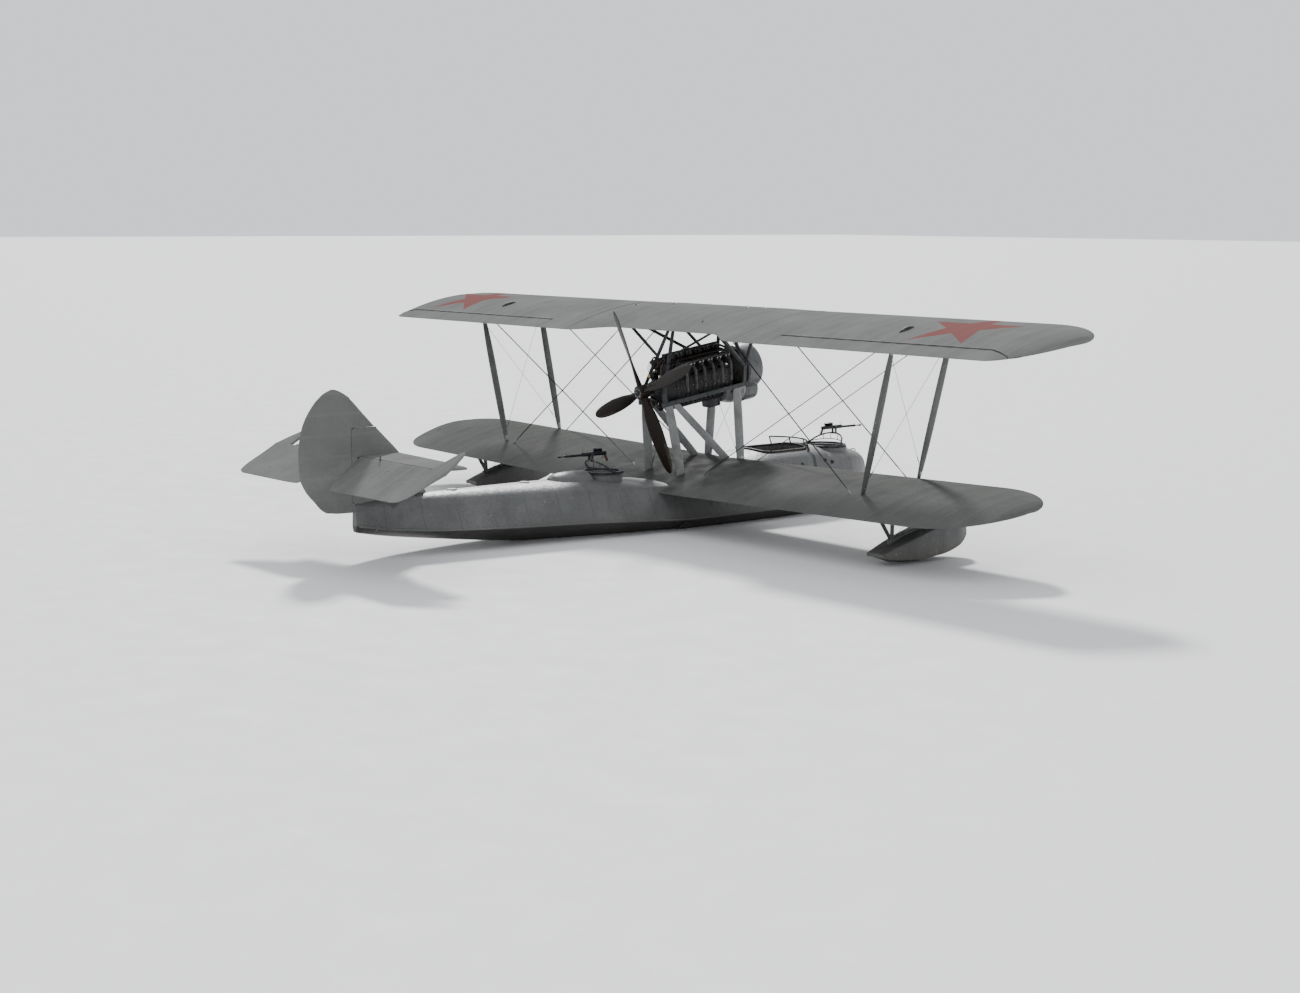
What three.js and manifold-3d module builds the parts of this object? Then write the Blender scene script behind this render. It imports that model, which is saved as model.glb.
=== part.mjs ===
// A single-engined pusher biplane flying boat of the late 1920s, afloat at rest.
// Millimetres. +Z is up, the bow points to -Y, port is +X, and z = 0 is the waterline.
import * as THREE from 'three'
import { mergeVertices } from 'three/addons/utils/BufferGeometryUtils.js'
import Module from 'manifold-3d'

const wasm = await Module()
wasm.setup()

// Driving dimensions
const GAP = 0.3
const BULKHEAD_Y = -3700
const WAIST_Y = 600
const STEP_Y = 0
const KEEL_HALF_WIDTH = 40
const NOSE_RING_Y = -4190
const DORSAL_RING_Y = 1100
const NOSE_RING_Z = 1110
const DORSAL_RING_Z = 1000
const NOSE_STATION = { well: 360, coaming: 440, ring: 430, reach: 280 }
const DORSAL_STATION = { well: 295, coaming: 345, ring: 380, reach: 245 }
const GUN_HEIGHT = 330
const COCKPIT_FRONT_Y = -3400
const COCKPIT_BACK_Y = -2300
const COCKPIT_HALF_WIDTH = 430
const COCKPIT_FLOOR_Z = 300
const SEAT_X = 215
const INCIDENCE = THREE.MathUtils.degToRad(8.8)
const DIHEDRAL = THREE.MathUtils.degToRad(1.2)
const UPPER = { leY: -2180, leZ: 3700, chord: 2420, halfSpan: 8330, thickness: 234, rise: 0 }
const LOWER = { leY: -1840, leZ: 1107, chord: 2318, halfSpan: 7800, thickness: 232, rise: Math.tan(DIHEDRAL) }
const CENTRE_HALF_SPAN = 2250
const CUT_OUT_DEPTH = 436
const CUT_OUT_HALF_WIDTH = 1300
const WING_ROOT_X = GAP / 2
const AILERON_INBOARD_X = 3100
const AILERON_HINGE = 2060
const AILERON_CORNER_X = 7620
const AILERON_END_X = 8200
const AILERON_END = 2250
const HINGE_CLEARANCE = 8
const STRUT_FOOT_X = 4810
const STRUT_TOP_X = 5500
const FRONT_STRUT_Y = -1630
const REAR_FOOT_Y = -360
const REAR_TOP_Y = -280
const STRUT_CHORD = 150
const WIRE_RADIUS = 6
const HUB_Y = 220
const HUB_Z = 2340
const THRUST_TILT = THREE.MathUtils.degToRad(8.6)
const PROPELLER_RADIUS = 1500
const PROPELLER_TURN = THREE.MathUtils.degToRad(21)
const BEAM_X = 320
const BEAM_DROP = 250
const COWL_RADIUS = 410
const COWL_WALL = 32
const COWL_BACK = -2160
const COWL_FRONT = -2510
const CHIN_RADIUS = 220
const CHIN_DROP = 400
const LOWER_COWLING_TOP = -300
const OIL_TANK_FRONT = -1680
const OIL_TANK_BACK = -1400
const FIN_TOP_Z = 2055
const RUDDER_HINGE_Y = 6100
const RUDDER_NOSE = 35
const ELEVATOR_HINGE_Y = 5980
const ELEVATOR_HINGE_Z = 1600
const ELEVATOR_NOSE = 30
const ELEVATOR_DROOP = THREE.MathUtils.degToRad(26)
const FLOAT_X = 5500

const material = (color, roughness, metalness) => new THREE.MeshStandardMaterial({ color, roughness, metalness })
const paint = material(0xb9bcb8, 0.5, 0.1)
const bottomPaint = material(0x2b2a29, 0.6, 0.1)
const fabric = material(0xc9c8bf, 0.8, 0)
const strutPaint = material(0x8f9391, 0.5, 0.2)
const darkPaint = material(0x3a3c3d, 0.5, 0.4)
const steel = material(0x6f7275, 0.35, 0.9)
const engineMetal = material(0x4b4a48, 0.5, 0.8)
const varnish = material(0x4a2a18, 0.35, 0)
const leather = material(0x4b3222, 0.7, 0)
const glass = material(0xcfd8d8, 0.1, 0)
const gunMetal = material(0x26272a, 0.4, 0.9)

const boat = new THREE.Group()

function add (name, geometry, finish) {
  const mesh = new THREE.Mesh(geometry, finish)
  mesh.name = name
  boat.add(mesh)
  return geometry
}

// A closed body through rings of equally many points, capped at both ends.
function loft (rings) {
  const count = rings[0].length
  const along = middle(rings[rings.length - 1]).sub(middle(rings[0]))
  const turned = ringNormal(rings[0]).dot(along) < 0
  const ordered = turned ? rings.map(ring => [...ring].reverse()) : rings
  const indices = []
  for (let i = 0; i < ordered.length - 1; i++) {
    for (let j = 0; j < count; j++) {
      const a = i * count + j
      const b = i * count + (j + 1) % count
      indices.push(a, b, b + count, a, b + count, a + count)
    }
  }
  const last = (ordered.length - 1) * count
  for (const [a, b, c] of capTriangles(ordered[0])) indices.push(a, c, b)
  for (const [a, b, c] of capTriangles(ordered[ordered.length - 1])) indices.push(last + a, last + b, last + c)
  const geometry = new THREE.BufferGeometry()
  geometry.setAttribute('position', new THREE.Float32BufferAttribute(ordered.flat(2), 3))
  geometry.setIndex(indices)
  return geometry
}

function middle (ring) {
  const sum = new THREE.Vector3()
  for (const point of ring) sum.add(new THREE.Vector3(...point))
  return sum.divideScalar(ring.length)
}

function ringNormal (ring) {
  const normal = new THREE.Vector3()
  const centre = middle(ring)
  for (let i = 0; i < ring.length; i++) {
    const a = new THREE.Vector3(...ring[i]).sub(centre)
    const b = new THREE.Vector3(...ring[(i + 1) % ring.length]).sub(centre)
    normal.add(a.cross(b))
  }
  return normal.normalize()
}

// Triangles of a flat ring, turned the same way round as the ring.
function capTriangles (ring) {
  const normal = ringNormal(ring)
  const across = new THREE.Vector3(...ring[1]).sub(new THREE.Vector3(...ring[0])).normalize()
  const up = normal.clone().cross(across)
  const flat = ring.map(point => {
    const p = new THREE.Vector3(...point)
    return new THREE.Vector2(p.dot(across), p.dot(up))
  })
  return THREE.ShapeUtils.triangulateShape(flat, []).map(([a, b, c]) => {
    const ab = flat[b].clone().sub(flat[a])
    const ac = flat[c].clone().sub(flat[a])
    return ab.cross(ac) > 0 ? [a, b, c] : [a, c, b]
  })
}

function solid (geometry) {
  const bare = new THREE.BufferGeometry()
  bare.setAttribute('position', geometry.getAttribute('position').clone())
  if (geometry.index) bare.setIndex(geometry.index.clone())
  const merged = mergeVertices(bare, 1e-3)
  return new wasm.Manifold(new wasm.Mesh({
    numProp: 3,
    vertProperties: new Float32Array(merged.getAttribute('position').array),
    triVerts: new Uint32Array(merged.index.array)
  }))
}

function shape (manifold) {
  const mesh = manifold.getMesh()
  const geometry = new THREE.BufferGeometry()
  geometry.setAttribute('position', new THREE.Float32BufferAttribute(mesh.vertProperties, 3))
  geometry.setIndex([...mesh.triVerts])
  return geometry
}

function join (pieces) {
  return shape(pieces.slice(1).reduce((sum, piece) => sum.add(solid(piece)), solid(pieces[0])))
}

function cut (body, tools) {
  return shape(tools.reduce((rest, tool) => rest.subtract(solid(tool)), solid(body)))
}

function common (body, tool) {
  return shape(solid(body).intersect(solid(tool)))
}

const moved = (geometry, x, y, z) => geometry.clone().translate(x, y, z)

function box (x0, x1, y0, y1, z0, z1) {
  const geometry = new THREE.BoxGeometry(x1 - x0, y1 - y0, z1 - z0)
  return geometry.translate((x0 + x1) / 2, (y0 + y1) / 2, (z0 + z1) / 2)
}

// An upright cylinder.
function drum (x, y, z0, z1, radius, sides = 24) {
  const geometry = new THREE.CylinderGeometry(radius, radius, z1 - z0, sides)
  return geometry.rotateX(Math.PI / 2).translate(x, y, (z0 + z1) / 2)
}

// A bar from one point to another. Its chord lies fore and aft as nearly as the line allows.
function bar (from, to, chord, thickness, sides = 10) {
  const start = new THREE.Vector3(...from)
  const end = new THREE.Vector3(...to)
  const along = end.clone().sub(start).normalize()
  const guide = Math.abs(along.y) > 0.9 ? new THREE.Vector3(0, 0, 1) : new THREE.Vector3(0, 1, 0)
  const chordWay = guide.sub(along.clone().multiplyScalar(guide.dot(along))).normalize()
  const sideWay = along.clone().cross(chordWay)
  const ringAt = centre => Array.from({ length: sides }, (_, i) => {
    const angle = (i + 0.5) * 2 * Math.PI / sides
    const point = centre.clone()
    point.addScaledVector(chordWay, Math.cos(angle) * chord / 2)
    point.addScaledVector(sideWay, Math.sin(angle) * thickness / 2)
    return point.toArray()
  })
  return loft([ringAt(start), ringAt(end)])
}

const rod = (from, to, radius, sides = 8) => bar(from, to, 2 * radius, 2 * radius, sides)

// Hull sections. Columns: y, keel z, chine half width, chine z, shoulder half width, shoulder z, crown z.
const BOW_SECTIONS = [
  [-5240, 300, 42, 440, 36, 475, 505],
  [-5170, 90, 150, 435, 128, 550, 640],
  [-5040, -40, 280, 405, 260, 725, 900],
  [-4800, -160, 460, 360, 420, 820, 1020],
  [-4500, -240, 620, 315, 530, 880, 1070],
  [-4100, -305, 765, 270, 610, 915, 1095],
  [BULKHEAD_Y - GAP, -345, 860, 240, 660, 950, 1115]
]
const CENTRE_SECTIONS = [
  [BULKHEAD_Y, -345, 860, 240, 660, 960, 1180],
  [-3000, -385, 940, 215, 690, 980, 1195],
  [-2400, -400, 980, 200, 700, 975, 1180],
  [-1840, -400, 1000, 200, 705, 950, 1110],
  [-1100, -400, 1000, 200, 705, 880, 985],
  [-400, -400, 995, 200, 705, 795, 850],
  [STEP_Y, -400, 980, 205, 700, 760, 797],
  [WAIST_Y - GAP, -212, 930, 232, 674, 755, 820]
]
const AFT_SECTIONS = [
  [WAIST_Y, -212, 930, 232, 674, 755, 820],
  [1100, -175, 885, 255, 645, 760, 895],
  [1850, -105, 800, 290, 590, 760, 950],
  [3300, 45, 665, 335, 465, 750, 960],
  [4750, 225, 450, 390, 290, 755, 950],
  [5500, 330, 250, 450, 160, 775, 925],
  [6040, 430, 60, 530, 48, 800, 885]
]
const FORE_BOTTOM_SECTIONS = [...BOW_SECTIONS, ...CENTRE_SECTIONS.slice(1, 7)]
const AFT_BOTTOM_SECTIONS = [[STEP_Y + GAP, -255, 980, 205], CENTRE_SECTIONS[7], ...AFT_SECTIONS.slice(1)]

function hullRing ([y, , chineX, chineZ, shoulderX, shoulderZ, crownZ]) {
  const steps = 8
  const deck = Array.from({ length: steps + 1 }, (_, i) => {
    const angle = Math.PI * i / steps
    return [shoulderX * Math.cos(angle), y, shoulderZ + (crownZ - shoulderZ) * Math.sin(angle)]
  })
  return [[chineX, y, chineZ], ...deck, [-chineX, y, chineZ]]
}

function bottomRing ([y, keelZ, chineX, chineZ]) {
  const keelX = Math.min(KEEL_HALF_WIDTH, chineX / 2)
  const hollowX = keelX + 0.6 * (chineX - keelX)
  const hollowZ = keelZ + 0.48 * (chineZ - keelZ)
  const half = [[chineX, y, chineZ - GAP], [hollowX, y, hollowZ], [keelX, y, keelZ]]
  return [...half, ...half.map(([x, , z]) => [-x, y, z]).reverse()]
}

const noseCoaming = drum(0, NOSE_RING_Y, 800, NOSE_RING_Z, NOSE_STATION.coaming)
const noseWell = drum(0, NOSE_RING_Y, 380, 1300, NOSE_STATION.well)
const hullBow = cut(join([loft(BOW_SECTIONS.map(hullRing)), noseCoaming]), [noseWell])

function roundedWell () {
  const corner = 150
  const plan = new THREE.Shape()
  const w = COCKPIT_HALF_WIDTH
  plan.moveTo(-w + corner, COCKPIT_FRONT_Y)
  plan.lineTo(w - corner, COCKPIT_FRONT_Y)
  plan.absarc(w - corner, COCKPIT_FRONT_Y + corner, corner, -Math.PI / 2, 0)
  plan.lineTo(w, COCKPIT_BACK_Y - corner)
  plan.absarc(w - corner, COCKPIT_BACK_Y - corner, corner, 0, Math.PI / 2)
  plan.lineTo(-w + corner, COCKPIT_BACK_Y)
  plan.absarc(-w + corner, COCKPIT_BACK_Y - corner, corner, Math.PI / 2, Math.PI)
  plan.lineTo(-w, COCKPIT_FRONT_Y + corner)
  plan.absarc(-w + corner, COCKPIT_FRONT_Y + corner, corner, Math.PI, 1.5 * Math.PI)
  const well = new THREE.ExtrudeGeometry(plan, { depth: 1000, bevelEnabled: false, curveSegments: 5 })
  return well.translate(0, 0, COCKPIT_FLOOR_Z)
}
const hullCentre = cut(loft(CENTRE_SECTIONS.map(hullRing)), [roundedWell()])

// The fairing behind the dorsal ring. Columns: y, half width, top z.
const FAIRING_SECTIONS = [
  [1495, 310, 1066],
  [1760, 315, 1078],
  [2000, 290, 1066],
  [2150, 225, 1035],
  [2235, 120, 985]
]
const fairing = loft(FAIRING_SECTIONS.map(([y, halfWidth, topZ]) => Array.from({ length: 10 }, (_, i) => {
  const angle = Math.PI * i / 9
  return [halfWidth * Math.cos(angle), y, 800 + (topZ - 800) * Math.sin(angle)]
})))
const dorsalCoaming = drum(0, DORSAL_RING_Y, 700, DORSAL_RING_Z, DORSAL_STATION.coaming)
const dorsalWell = drum(0, DORSAL_RING_Y, 360, 1300, DORSAL_STATION.well)
const hullAft = cut(join([loft(AFT_SECTIONS.map(hullRing)), fairing, dorsalCoaming]), [dorsalWell])

add('hull_bow', hullBow, paint)
add('hull_centre', hullCentre, paint)
add('hull_aft', hullAft, paint)
add('planing_bottom_fore', loft(FORE_BOTTOM_SECTIONS.map(bottomRing)), bottomPaint)
add('planing_bottom_aft', loft(AFT_BOTTOM_SECTIONS.map(bottomRing)), bottomPaint)

// Pilots' cockpit
function windscreen () {
  const radius = 640
  const centreY = -2910
  const steps = 10
  const ringAt = (z, shift) => {
    const arc = (r, from, to) => Array.from({ length: steps + 1 }, (_, i) => {
      const angle = from + (to - from) * i / steps
      return [r * Math.sin(angle), centreY + shift - r * Math.cos(angle), z]
    })
    return [...arc(radius, -0.9, 0.9), ...arc(radius - 8, 0.9, -0.9)]
  }
  return cut(loft([ringAt(1040, -60), ringAt(1310, 44)]), [moved(hullCentre, 0, 0, GAP)])
}
add('windscreen', windscreen(), glass)
add('instrument_panel', box(-270, 270, COCKPIT_FRONT_Y + GAP, COCKPIT_FRONT_Y + 30, 900, 1100), varnish)

for (const [side, x] of [['port', SEAT_X], ['starboard', -SEAT_X]]) {
  const pedestal = box(x - 175, x + 175, -2840, -2420, COCKPIT_FLOOR_Z + GAP, 540)
  const back = box(x - 175, x + 175, -2450, -2400, COCKPIT_FLOOR_Z + GAP, 900)
  const arms = [-1, 1].map(way => box(x + way * 165 - 10, x + way * 165 + 10, -2700, -2430, 500, 660))
  add(`seat_${side}`, join([pedestal, back, ...arms]), varnish)
  add(`seat_cushion_${side}`, box(x - 150, x + 150, -2830, -2455, 540 + GAP, 610), leather)
}

function controlColumns () {
  const pieces = [rod([-SEAT_X, -3080, 345], [SEAT_X, -3080, 345], 18)]
  for (const x of [-SEAT_X, SEAT_X]) {
    pieces.push(box(x - 45, x + 45, -3125, -3035, COCKPIT_FLOOR_Z + GAP, 345))
    pieces.push(rod([x, -3080, 345], [x, -3010, 830], 16))
    const wheel = new THREE.TorusGeometry(125, 11, 6, 20)
    pieces.push(wheel.rotateX(Math.PI / 2 - 0.35).translate(x, -2995, 840))
    pieces.push(rod([x - 122, -2995, 840], [x + 122, -2995, 840], 9, 6))
  }
  return join(pieces)
}
add('control_columns', controlColumns(), darkPaint)

// Wings. A wing's own frame has x across, y along the chord from the leading edge, and z off the chord.
function wingFrame ({ leY, leZ }) {
  const frame = new THREE.Matrix4().makeRotationX(-INCIDENCE)
  return frame.setPosition(0, leY, leZ)
}

// Height of a section over its chord line, at a share of the chord: +1 for its top, -1 for its underside.
function sectionHeight (share, thickness, way) {
  const t = Math.max(share, 0)
  const half = 0.2969 * Math.sqrt(t) - 0.126 * t - 0.3516 * t ** 2 + 0.2843 * t ** 3 - 0.1015 * t ** 4
  const camber = 0.28 * thickness * 4 * t * (1 - t)
  return camber + way * (5 * thickness * half + 2)
}

const TOP_SHARES = [0, 0.015, 0.06, 0.15, 0.3, 0.5, 0.72, 0.88, 1]
const UNDER_SHARES = [1, 0.75, 0.45, 0.2, 0.07, 0.015]

function wingRing (x, front, back, thickness) {
  const chord = back - front
  const point = (share, way) => [x, front + share * chord, sectionHeight(share, thickness, way)]
  return [...TOP_SHARES.map(share => point(share, 1)), ...UNDER_SHARES.map(share => point(share, -1))]
}

// How far a rounded tip's edge has come in, from where its curve starts to the wing's end.
const tipCurve = (x, start, end, depth) => {
  const share = Math.min(Math.max((x - start) / (end - start), 0), 1)
  return depth * (1 - Math.sqrt(1 - share * share))
}

// How far the trailing edge is cut back over the propeller's arc.
function cutOut (x) {
  const share = THREE.MathUtils.smoothstep(Math.abs(x), CUT_OUT_HALF_WIDTH, CENTRE_HALF_SPAN - 50)
  return CUT_OUT_DEPTH * (1 - share)
}

// The height that a wing's dihedral gives, measured from where the interplane struts stand.
const lift = (wing, x) => (Math.abs(x) - STRUT_FOOT_X) * wing.rise

// A point within a wing's thickness, at a place across the span and fore and aft.
function inWing (wing, x, y) {
  const along = (y - wing.leY) / Math.cos(INCIDENCE)
  const share = along / (wing.chord - (wing === UPPER ? cutOut(x) : 0))
  const z = (sectionHeight(share, wing.thickness, 1) + sectionHeight(share, wing.thickness, -1)) / 2
  return new THREE.Vector3(x, along, z + lift(wing, x)).applyMatrix4(wingFrame(wing)).toArray()
}

// Tip shapes. Columns: start of the front curve, its depth, start of the rear curve, its depth.
const UPPER_TIP = [7300, 900, 7700, UPPER.chord - 900]
const LOWER_TIP = [6600, 950, 6600, LOWER.chord - 950]

function wingHalf (wing, stations, [frontStart, frontDepth, backStart, backDepth], side) {
  return loft(stations.map(x => {
    const front = tipCurve(x, frontStart, wing.halfSpan, frontDepth)
    const back = wing.chord - tipCurve(x, backStart, wing.halfSpan, backDepth)
    const thickness = wing.thickness * ((back - front) / wing.chord) ** 0.8
    return wingRing(side * x, front, back, thickness).map(([px, py, pz]) => [px, py, pz + lift(wing, x)])
  }))
}

const UPPER_STATIONS = [CENTRE_HALF_SPAN + GAP, 7300, 7700, 7950, 8120, 8230, 8300, 8327]
const LOWER_STATIONS = [WING_ROOT_X, 6600, 6950, 7250, 7480, 7650, 7750, 7796]
const CENTRE_STATIONS = [0, CUT_OUT_HALF_WIDTH, 1500, 1680, 1850, 2020, 2200, CENTRE_HALF_SPAN]

const centreStations = [...CENTRE_STATIONS.slice(1).reverse().map(x => -x), ...CENTRE_STATIONS]
const centreSection = loft(centreStations.map(x => wingRing(x, 0, UPPER.chord - cutOut(x), UPPER.thickness)))
centreSection.applyMatrix4(wingFrame(UPPER))
add('upper_wing_centre', centreSection, fabric)

const upperTops = [centreSection]
const lowerTops = []
const wings = {}

// The corner where the aileron ends, in the wing's own frame, as a block behind a slanted line.
function aileronBlock (side, inboard, front, inset) {
  const corner = AILERON_CORNER_X - inset
  const end = AILERON_END_X - inset
  const plan = [[inboard, front], [corner, front], [end, AILERON_END], [end, 2600], [inboard, 2600]]
  return loft([-400, 400].map(z => plan.map(([x, y]) => [side * x, y, z])))
}

for (const [side, sign] of [['port', 1], ['starboard', -1]]) {
  const whole = wingHalf(UPPER, UPPER_STATIONS, UPPER_TIP, sign)
  const share = AILERON_HINGE / UPPER.chord
  const topZ = sectionHeight(share, UPPER.thickness, 1)
  const underZ = sectionHeight(share, UPPER.thickness, -1)
  const nose = (topZ - underZ) / 2
  const hingeZ = (topZ + underZ) / 2
  const wingBack = AILERON_HINGE - nose - HINGE_CLEARANCE
  const wing = cut(whole, [aileronBlock(sign, AILERON_INBOARD_X, wingBack, 0)])
  const flap = common(whole, aileronBlock(sign, AILERON_INBOARD_X + 8, AILERON_HINGE, 12))
  const noseEnds = [AILERON_INBOARD_X + 8, AILERON_CORNER_X - 25].map(x => [sign * x, AILERON_HINGE, hingeZ])
  const aileron = join([flap, rod(noseEnds[0], noseEnds[1], nose, 12)])
  wings[side] = wing.applyMatrix4(wingFrame(UPPER))
  upperTops.push(wings[side])
  add(`upper_wing_${side}`, wings[side], fabric)
  add(`aileron_${side}`, aileron.applyMatrix4(wingFrame(UPPER)), fabric)

  const lower = wingHalf(LOWER, LOWER_STATIONS, LOWER_TIP, sign).applyMatrix4(wingFrame(LOWER))
  const fitted = cut(lower, [moved(hullCentre, sign * GAP, 0, 0), moved(hullCentre, 0, 0, GAP)])
  lowerTops.push(fitted)
  add(`lower_wing_${side}`, fitted, fabric)
}

// Cuts a strut's ends to the surfaces it stands between, with the gap that touching pieces keep.
const between = (strut, below, above) => cut(strut, [
  ...below.map(body => moved(body, 0, 0, GAP)),
  ...above.map(body => moved(body, 0, 0, -GAP))
])

// Columns: place, y of the foot, y of the top.
const INTERPLANE_STRUTS = [
  ['front', FRONT_STRUT_Y, FRONT_STRUT_Y],
  ['rear', REAR_FOOT_Y, REAR_TOP_Y]
]
for (const [side, sign] of [['port', 1], ['starboard', -1]]) {
  const lower = lowerTops[sign > 0 ? 0 : 1]
  for (const [place, footY, topY] of INTERPLANE_STRUTS) {
    const foot = inWing(LOWER, sign * STRUT_FOOT_X, footY)
    const strut = bar(foot, inWing(UPPER, sign * STRUT_TOP_X, topY), STRUT_CHORD, 56)
    add(`interplane_strut_${place}_${side}`, between(strut, [lower], [wings[side]]), strutPaint)
  }
}

// Bracing wires. Columns: plane, kind, x and y at the bottom, x and y at the top.
const WIRES = [
  ['front', 'flying', 790, FRONT_STRUT_Y - 22, 5380, FRONT_STRUT_Y - 22],
  ['front', 'landing', 4690, FRONT_STRUT_Y + 22, 1330, FRONT_STRUT_Y + 22],
  ['rear', 'flying', 790, REAR_FOOT_Y - 22, 5380, REAR_TOP_Y - 22],
  ['rear', 'landing', 4690, REAR_FOOT_Y + 22, 1330, -470]
]
for (const [side, sign] of [['port', 1], ['starboard', -1]]) {
  const lower = lowerTops[sign > 0 ? 0 : 1]
  for (const [place, kind, lowX, lowY, highX, highY] of WIRES) {
    const wire = rod(inWing(LOWER, sign * lowX, lowY), inWing(UPPER, sign * highX, highY), WIRE_RADIUS, 6)
    const above = [kind === 'flying' ? wings[side] : centreSection]
    add(`${kind}_wire_${place}_${side}`, between(wire, [lower], above), steel)
  }
}

// Wing-tip floats. Columns: y, half width, top z, chine z, keel z.
const FLOAT_SECTIONS = [
  [-2000, 35, 500, 450, 420],
  [-1900, 140, 555, 350, 280],
  [-1650, 220, 575, 205, 105],
  [-1200, 255, 535, 110, 10],
  [-750, 250, 430, 80, 0],
  [-300, 215, 300, 100, 40],
  [40, 175, 190, 155, 140]
]
for (const [side, sign] of [['port', 1], ['starboard', -1]]) {
  const float = loft(FLOAT_SECTIONS.map(([y, w, topZ, chineZ, keelZ]) => [
    [-w, topZ], [-w * 0.5, topZ + w * 0.12], [w * 0.5, topZ + w * 0.12], [w, topZ], [w, chineZ], [0, keelZ], [-w, chineZ]
  ].map(([x, z]) => [sign * FLOAT_X + x, y, z])))
  add(`float_${side}`, float, paint)
  const x = sign * FLOAT_X
  const feet = [[x, -1260, 580, -1560], [x, -330, 350, -130]]
  const legs = feet.flatMap(([footX, footY, footZ, topY]) => [-210, 210].map(out => {
    return bar([footX, footY, footZ], inWing(LOWER, x + out, topY), 80, 34, 8)
  }))
  const rail = loft([[-1320, 515], [-250, 268]].map(([y, z]) => [
    [x - 24, y, z], [x + 24, y, z], [x + 24, y, z + 115], [x - 24, y, z + 115]
  ]))
  const lower = lowerTops[sign > 0 ? 0 : 1]
  add(`float_struts_${side}`, between(join([rail, ...legs]), [float], [lower]), strutPaint)
}

// Engine and propeller, in a frame whose y axis is the thrust line, aft, from the propeller's middle.
const thrustFrame = new THREE.Matrix4().makeRotationX(-THRUST_TILT).setPosition(0, HUB_Y, HUB_Z)
const onThrust = (x, along, above) => new THREE.Vector3(x, along, above).applyMatrix4(thrustFrame).toArray()
const engine = new THREE.Group()
engine.position.set(0, HUB_Y, HUB_Z)
engine.rotation.x = -THRUST_TILT
boat.add(engine)

function addToEngine (name, geometry, finish) {
  const mesh = new THREE.Mesh(geometry, finish)
  mesh.name = name
  engine.add(mesh)
}

const lengthwise = (radius, from, to, sides, x = 0, z = 0) => {
  const geometry = new THREE.CylinderGeometry(radius, radius, to - from, sides)
  return geometry.translate(x, (from + to) / 2, z)
}

// Crankcase sections. Columns: y, half width, top z, bottom z.
const CRANKCASE_SECTIONS = [
  [-2010, 150, 110, -220],
  [-1900, 200, 150, -430],
  [-620, 200, 150, -430],
  [-330, 170, 130, -230],
  [-190, 110, 105, -110]
]
const crankcase = loft(CRANKCASE_SECTIONS.map(([y, w, topZ, bottomZ]) => [
  [w, 0.4 * topZ], [0.55 * w, topZ], [-0.55 * w, topZ], [-w, 0.4 * topZ],
  [-w, 0.4 * bottomZ], [-0.5 * w, bottomZ], [0.5 * w, bottomZ], [w, 0.4 * bottomZ]
].map(([x, z]) => [x, y, z])))
const bearers = [-1780, -1200, -620].map(y => {
  return box(-BEAM_X + 30 + GAP, BEAM_X - 30 - GAP, y - 45, y + 45, -BEAM_DROP - 20, -BEAM_DROP + 25)
})
const shaftHousing = lengthwise(72, -260, -95, 16)
const oilTank = box(-120, 120, OIL_TANK_FRONT, OIL_TANK_BACK, -570, -400)
addToEngine('crankcase', join([crankcase, ...bearers, shaftHousing, oilTank]), engineMetal)

const CYLINDERS = 6
const CYLINDER_PITCH = 205
const FIRST_CYLINDER_Y = -700
const BANKS = [['centre', 0], ['port', 42], ['starboard', -42]]
for (const [name, degrees] of BANKS) {
  const angle = THREE.MathUtils.degToRad(degrees)
  const lastY = FIRST_CYLINDER_Y - (CYLINDERS - 1) * CYLINDER_PITCH
  const pieces = [box(-62, 62, lastY - 95, FIRST_CYLINDER_Y + 95, 475, 565)]
  pieces.push(box(-72, 72, lastY - 80, FIRST_CYLINDER_Y + 80, 235, 262))
  for (let i = 0; i < CYLINDERS; i++) {
    const y = FIRST_CYLINDER_Y - i * CYLINDER_PITCH
    pieces.push(drum(0, y, 235, 490, 78, 12))
    const way = Math.sign(degrees)
    if (way === 0) continue
    pieces.push(rod([way * 40, y, 510], [way * 112, y, 488], 27, 8))
    pieces.push(rod([way * 90, y, 510], [way * 250, y, 320], 27, 8))
  }
  const bank = join(pieces).rotateY(angle)
  addToEngine(`cylinder_bank_${name}`, cut(bank, [moved(crankcase, 0, 0, GAP)]), engineMetal)
}

function cowlBody (wall, from, to) {
  const barrel = lengthwise(COWL_RADIUS - wall, from, to, 32)
  const chin = lengthwise(CHIN_RADIUS - wall, from, to, 24, 0, -CHIN_DROP)
  return join([barrel, chin])
}
addToEngine('radiator_cowl', cut(cowlBody(0, COWL_FRONT, COWL_BACK), [cowlBody(COWL_WALL, -3000, -2000)]), paint)
addToEngine('radiator_core', cowlBody(COWL_WALL + 0.6, COWL_FRONT + 80, COWL_FRONT + 190), darkPaint)

// The panel under the front of the engine. Columns: y, half width, bottom z.
const LOWER_COWLING_SECTIONS = [
  [COWL_BACK + GAP, 270, -600],
  [-1940, 265, -585],
  [-1720, 255, -520]
]
const lowerCowling = loft(LOWER_COWLING_SECTIONS.map(([y, halfWidth, bottomZ]) => Array.from({ length: 12 }, (_, i) => {
  const angle = Math.PI * i / 11
  return [halfWidth * Math.cos(angle), y, LOWER_COWLING_TOP + (bottomZ - LOWER_COWLING_TOP) * Math.sin(angle)]
})))
addToEngine('lower_cowling', cut(lowerCowling, [moved(crankcase, 0, 0, -GAP), crankcase]), paint)

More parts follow.
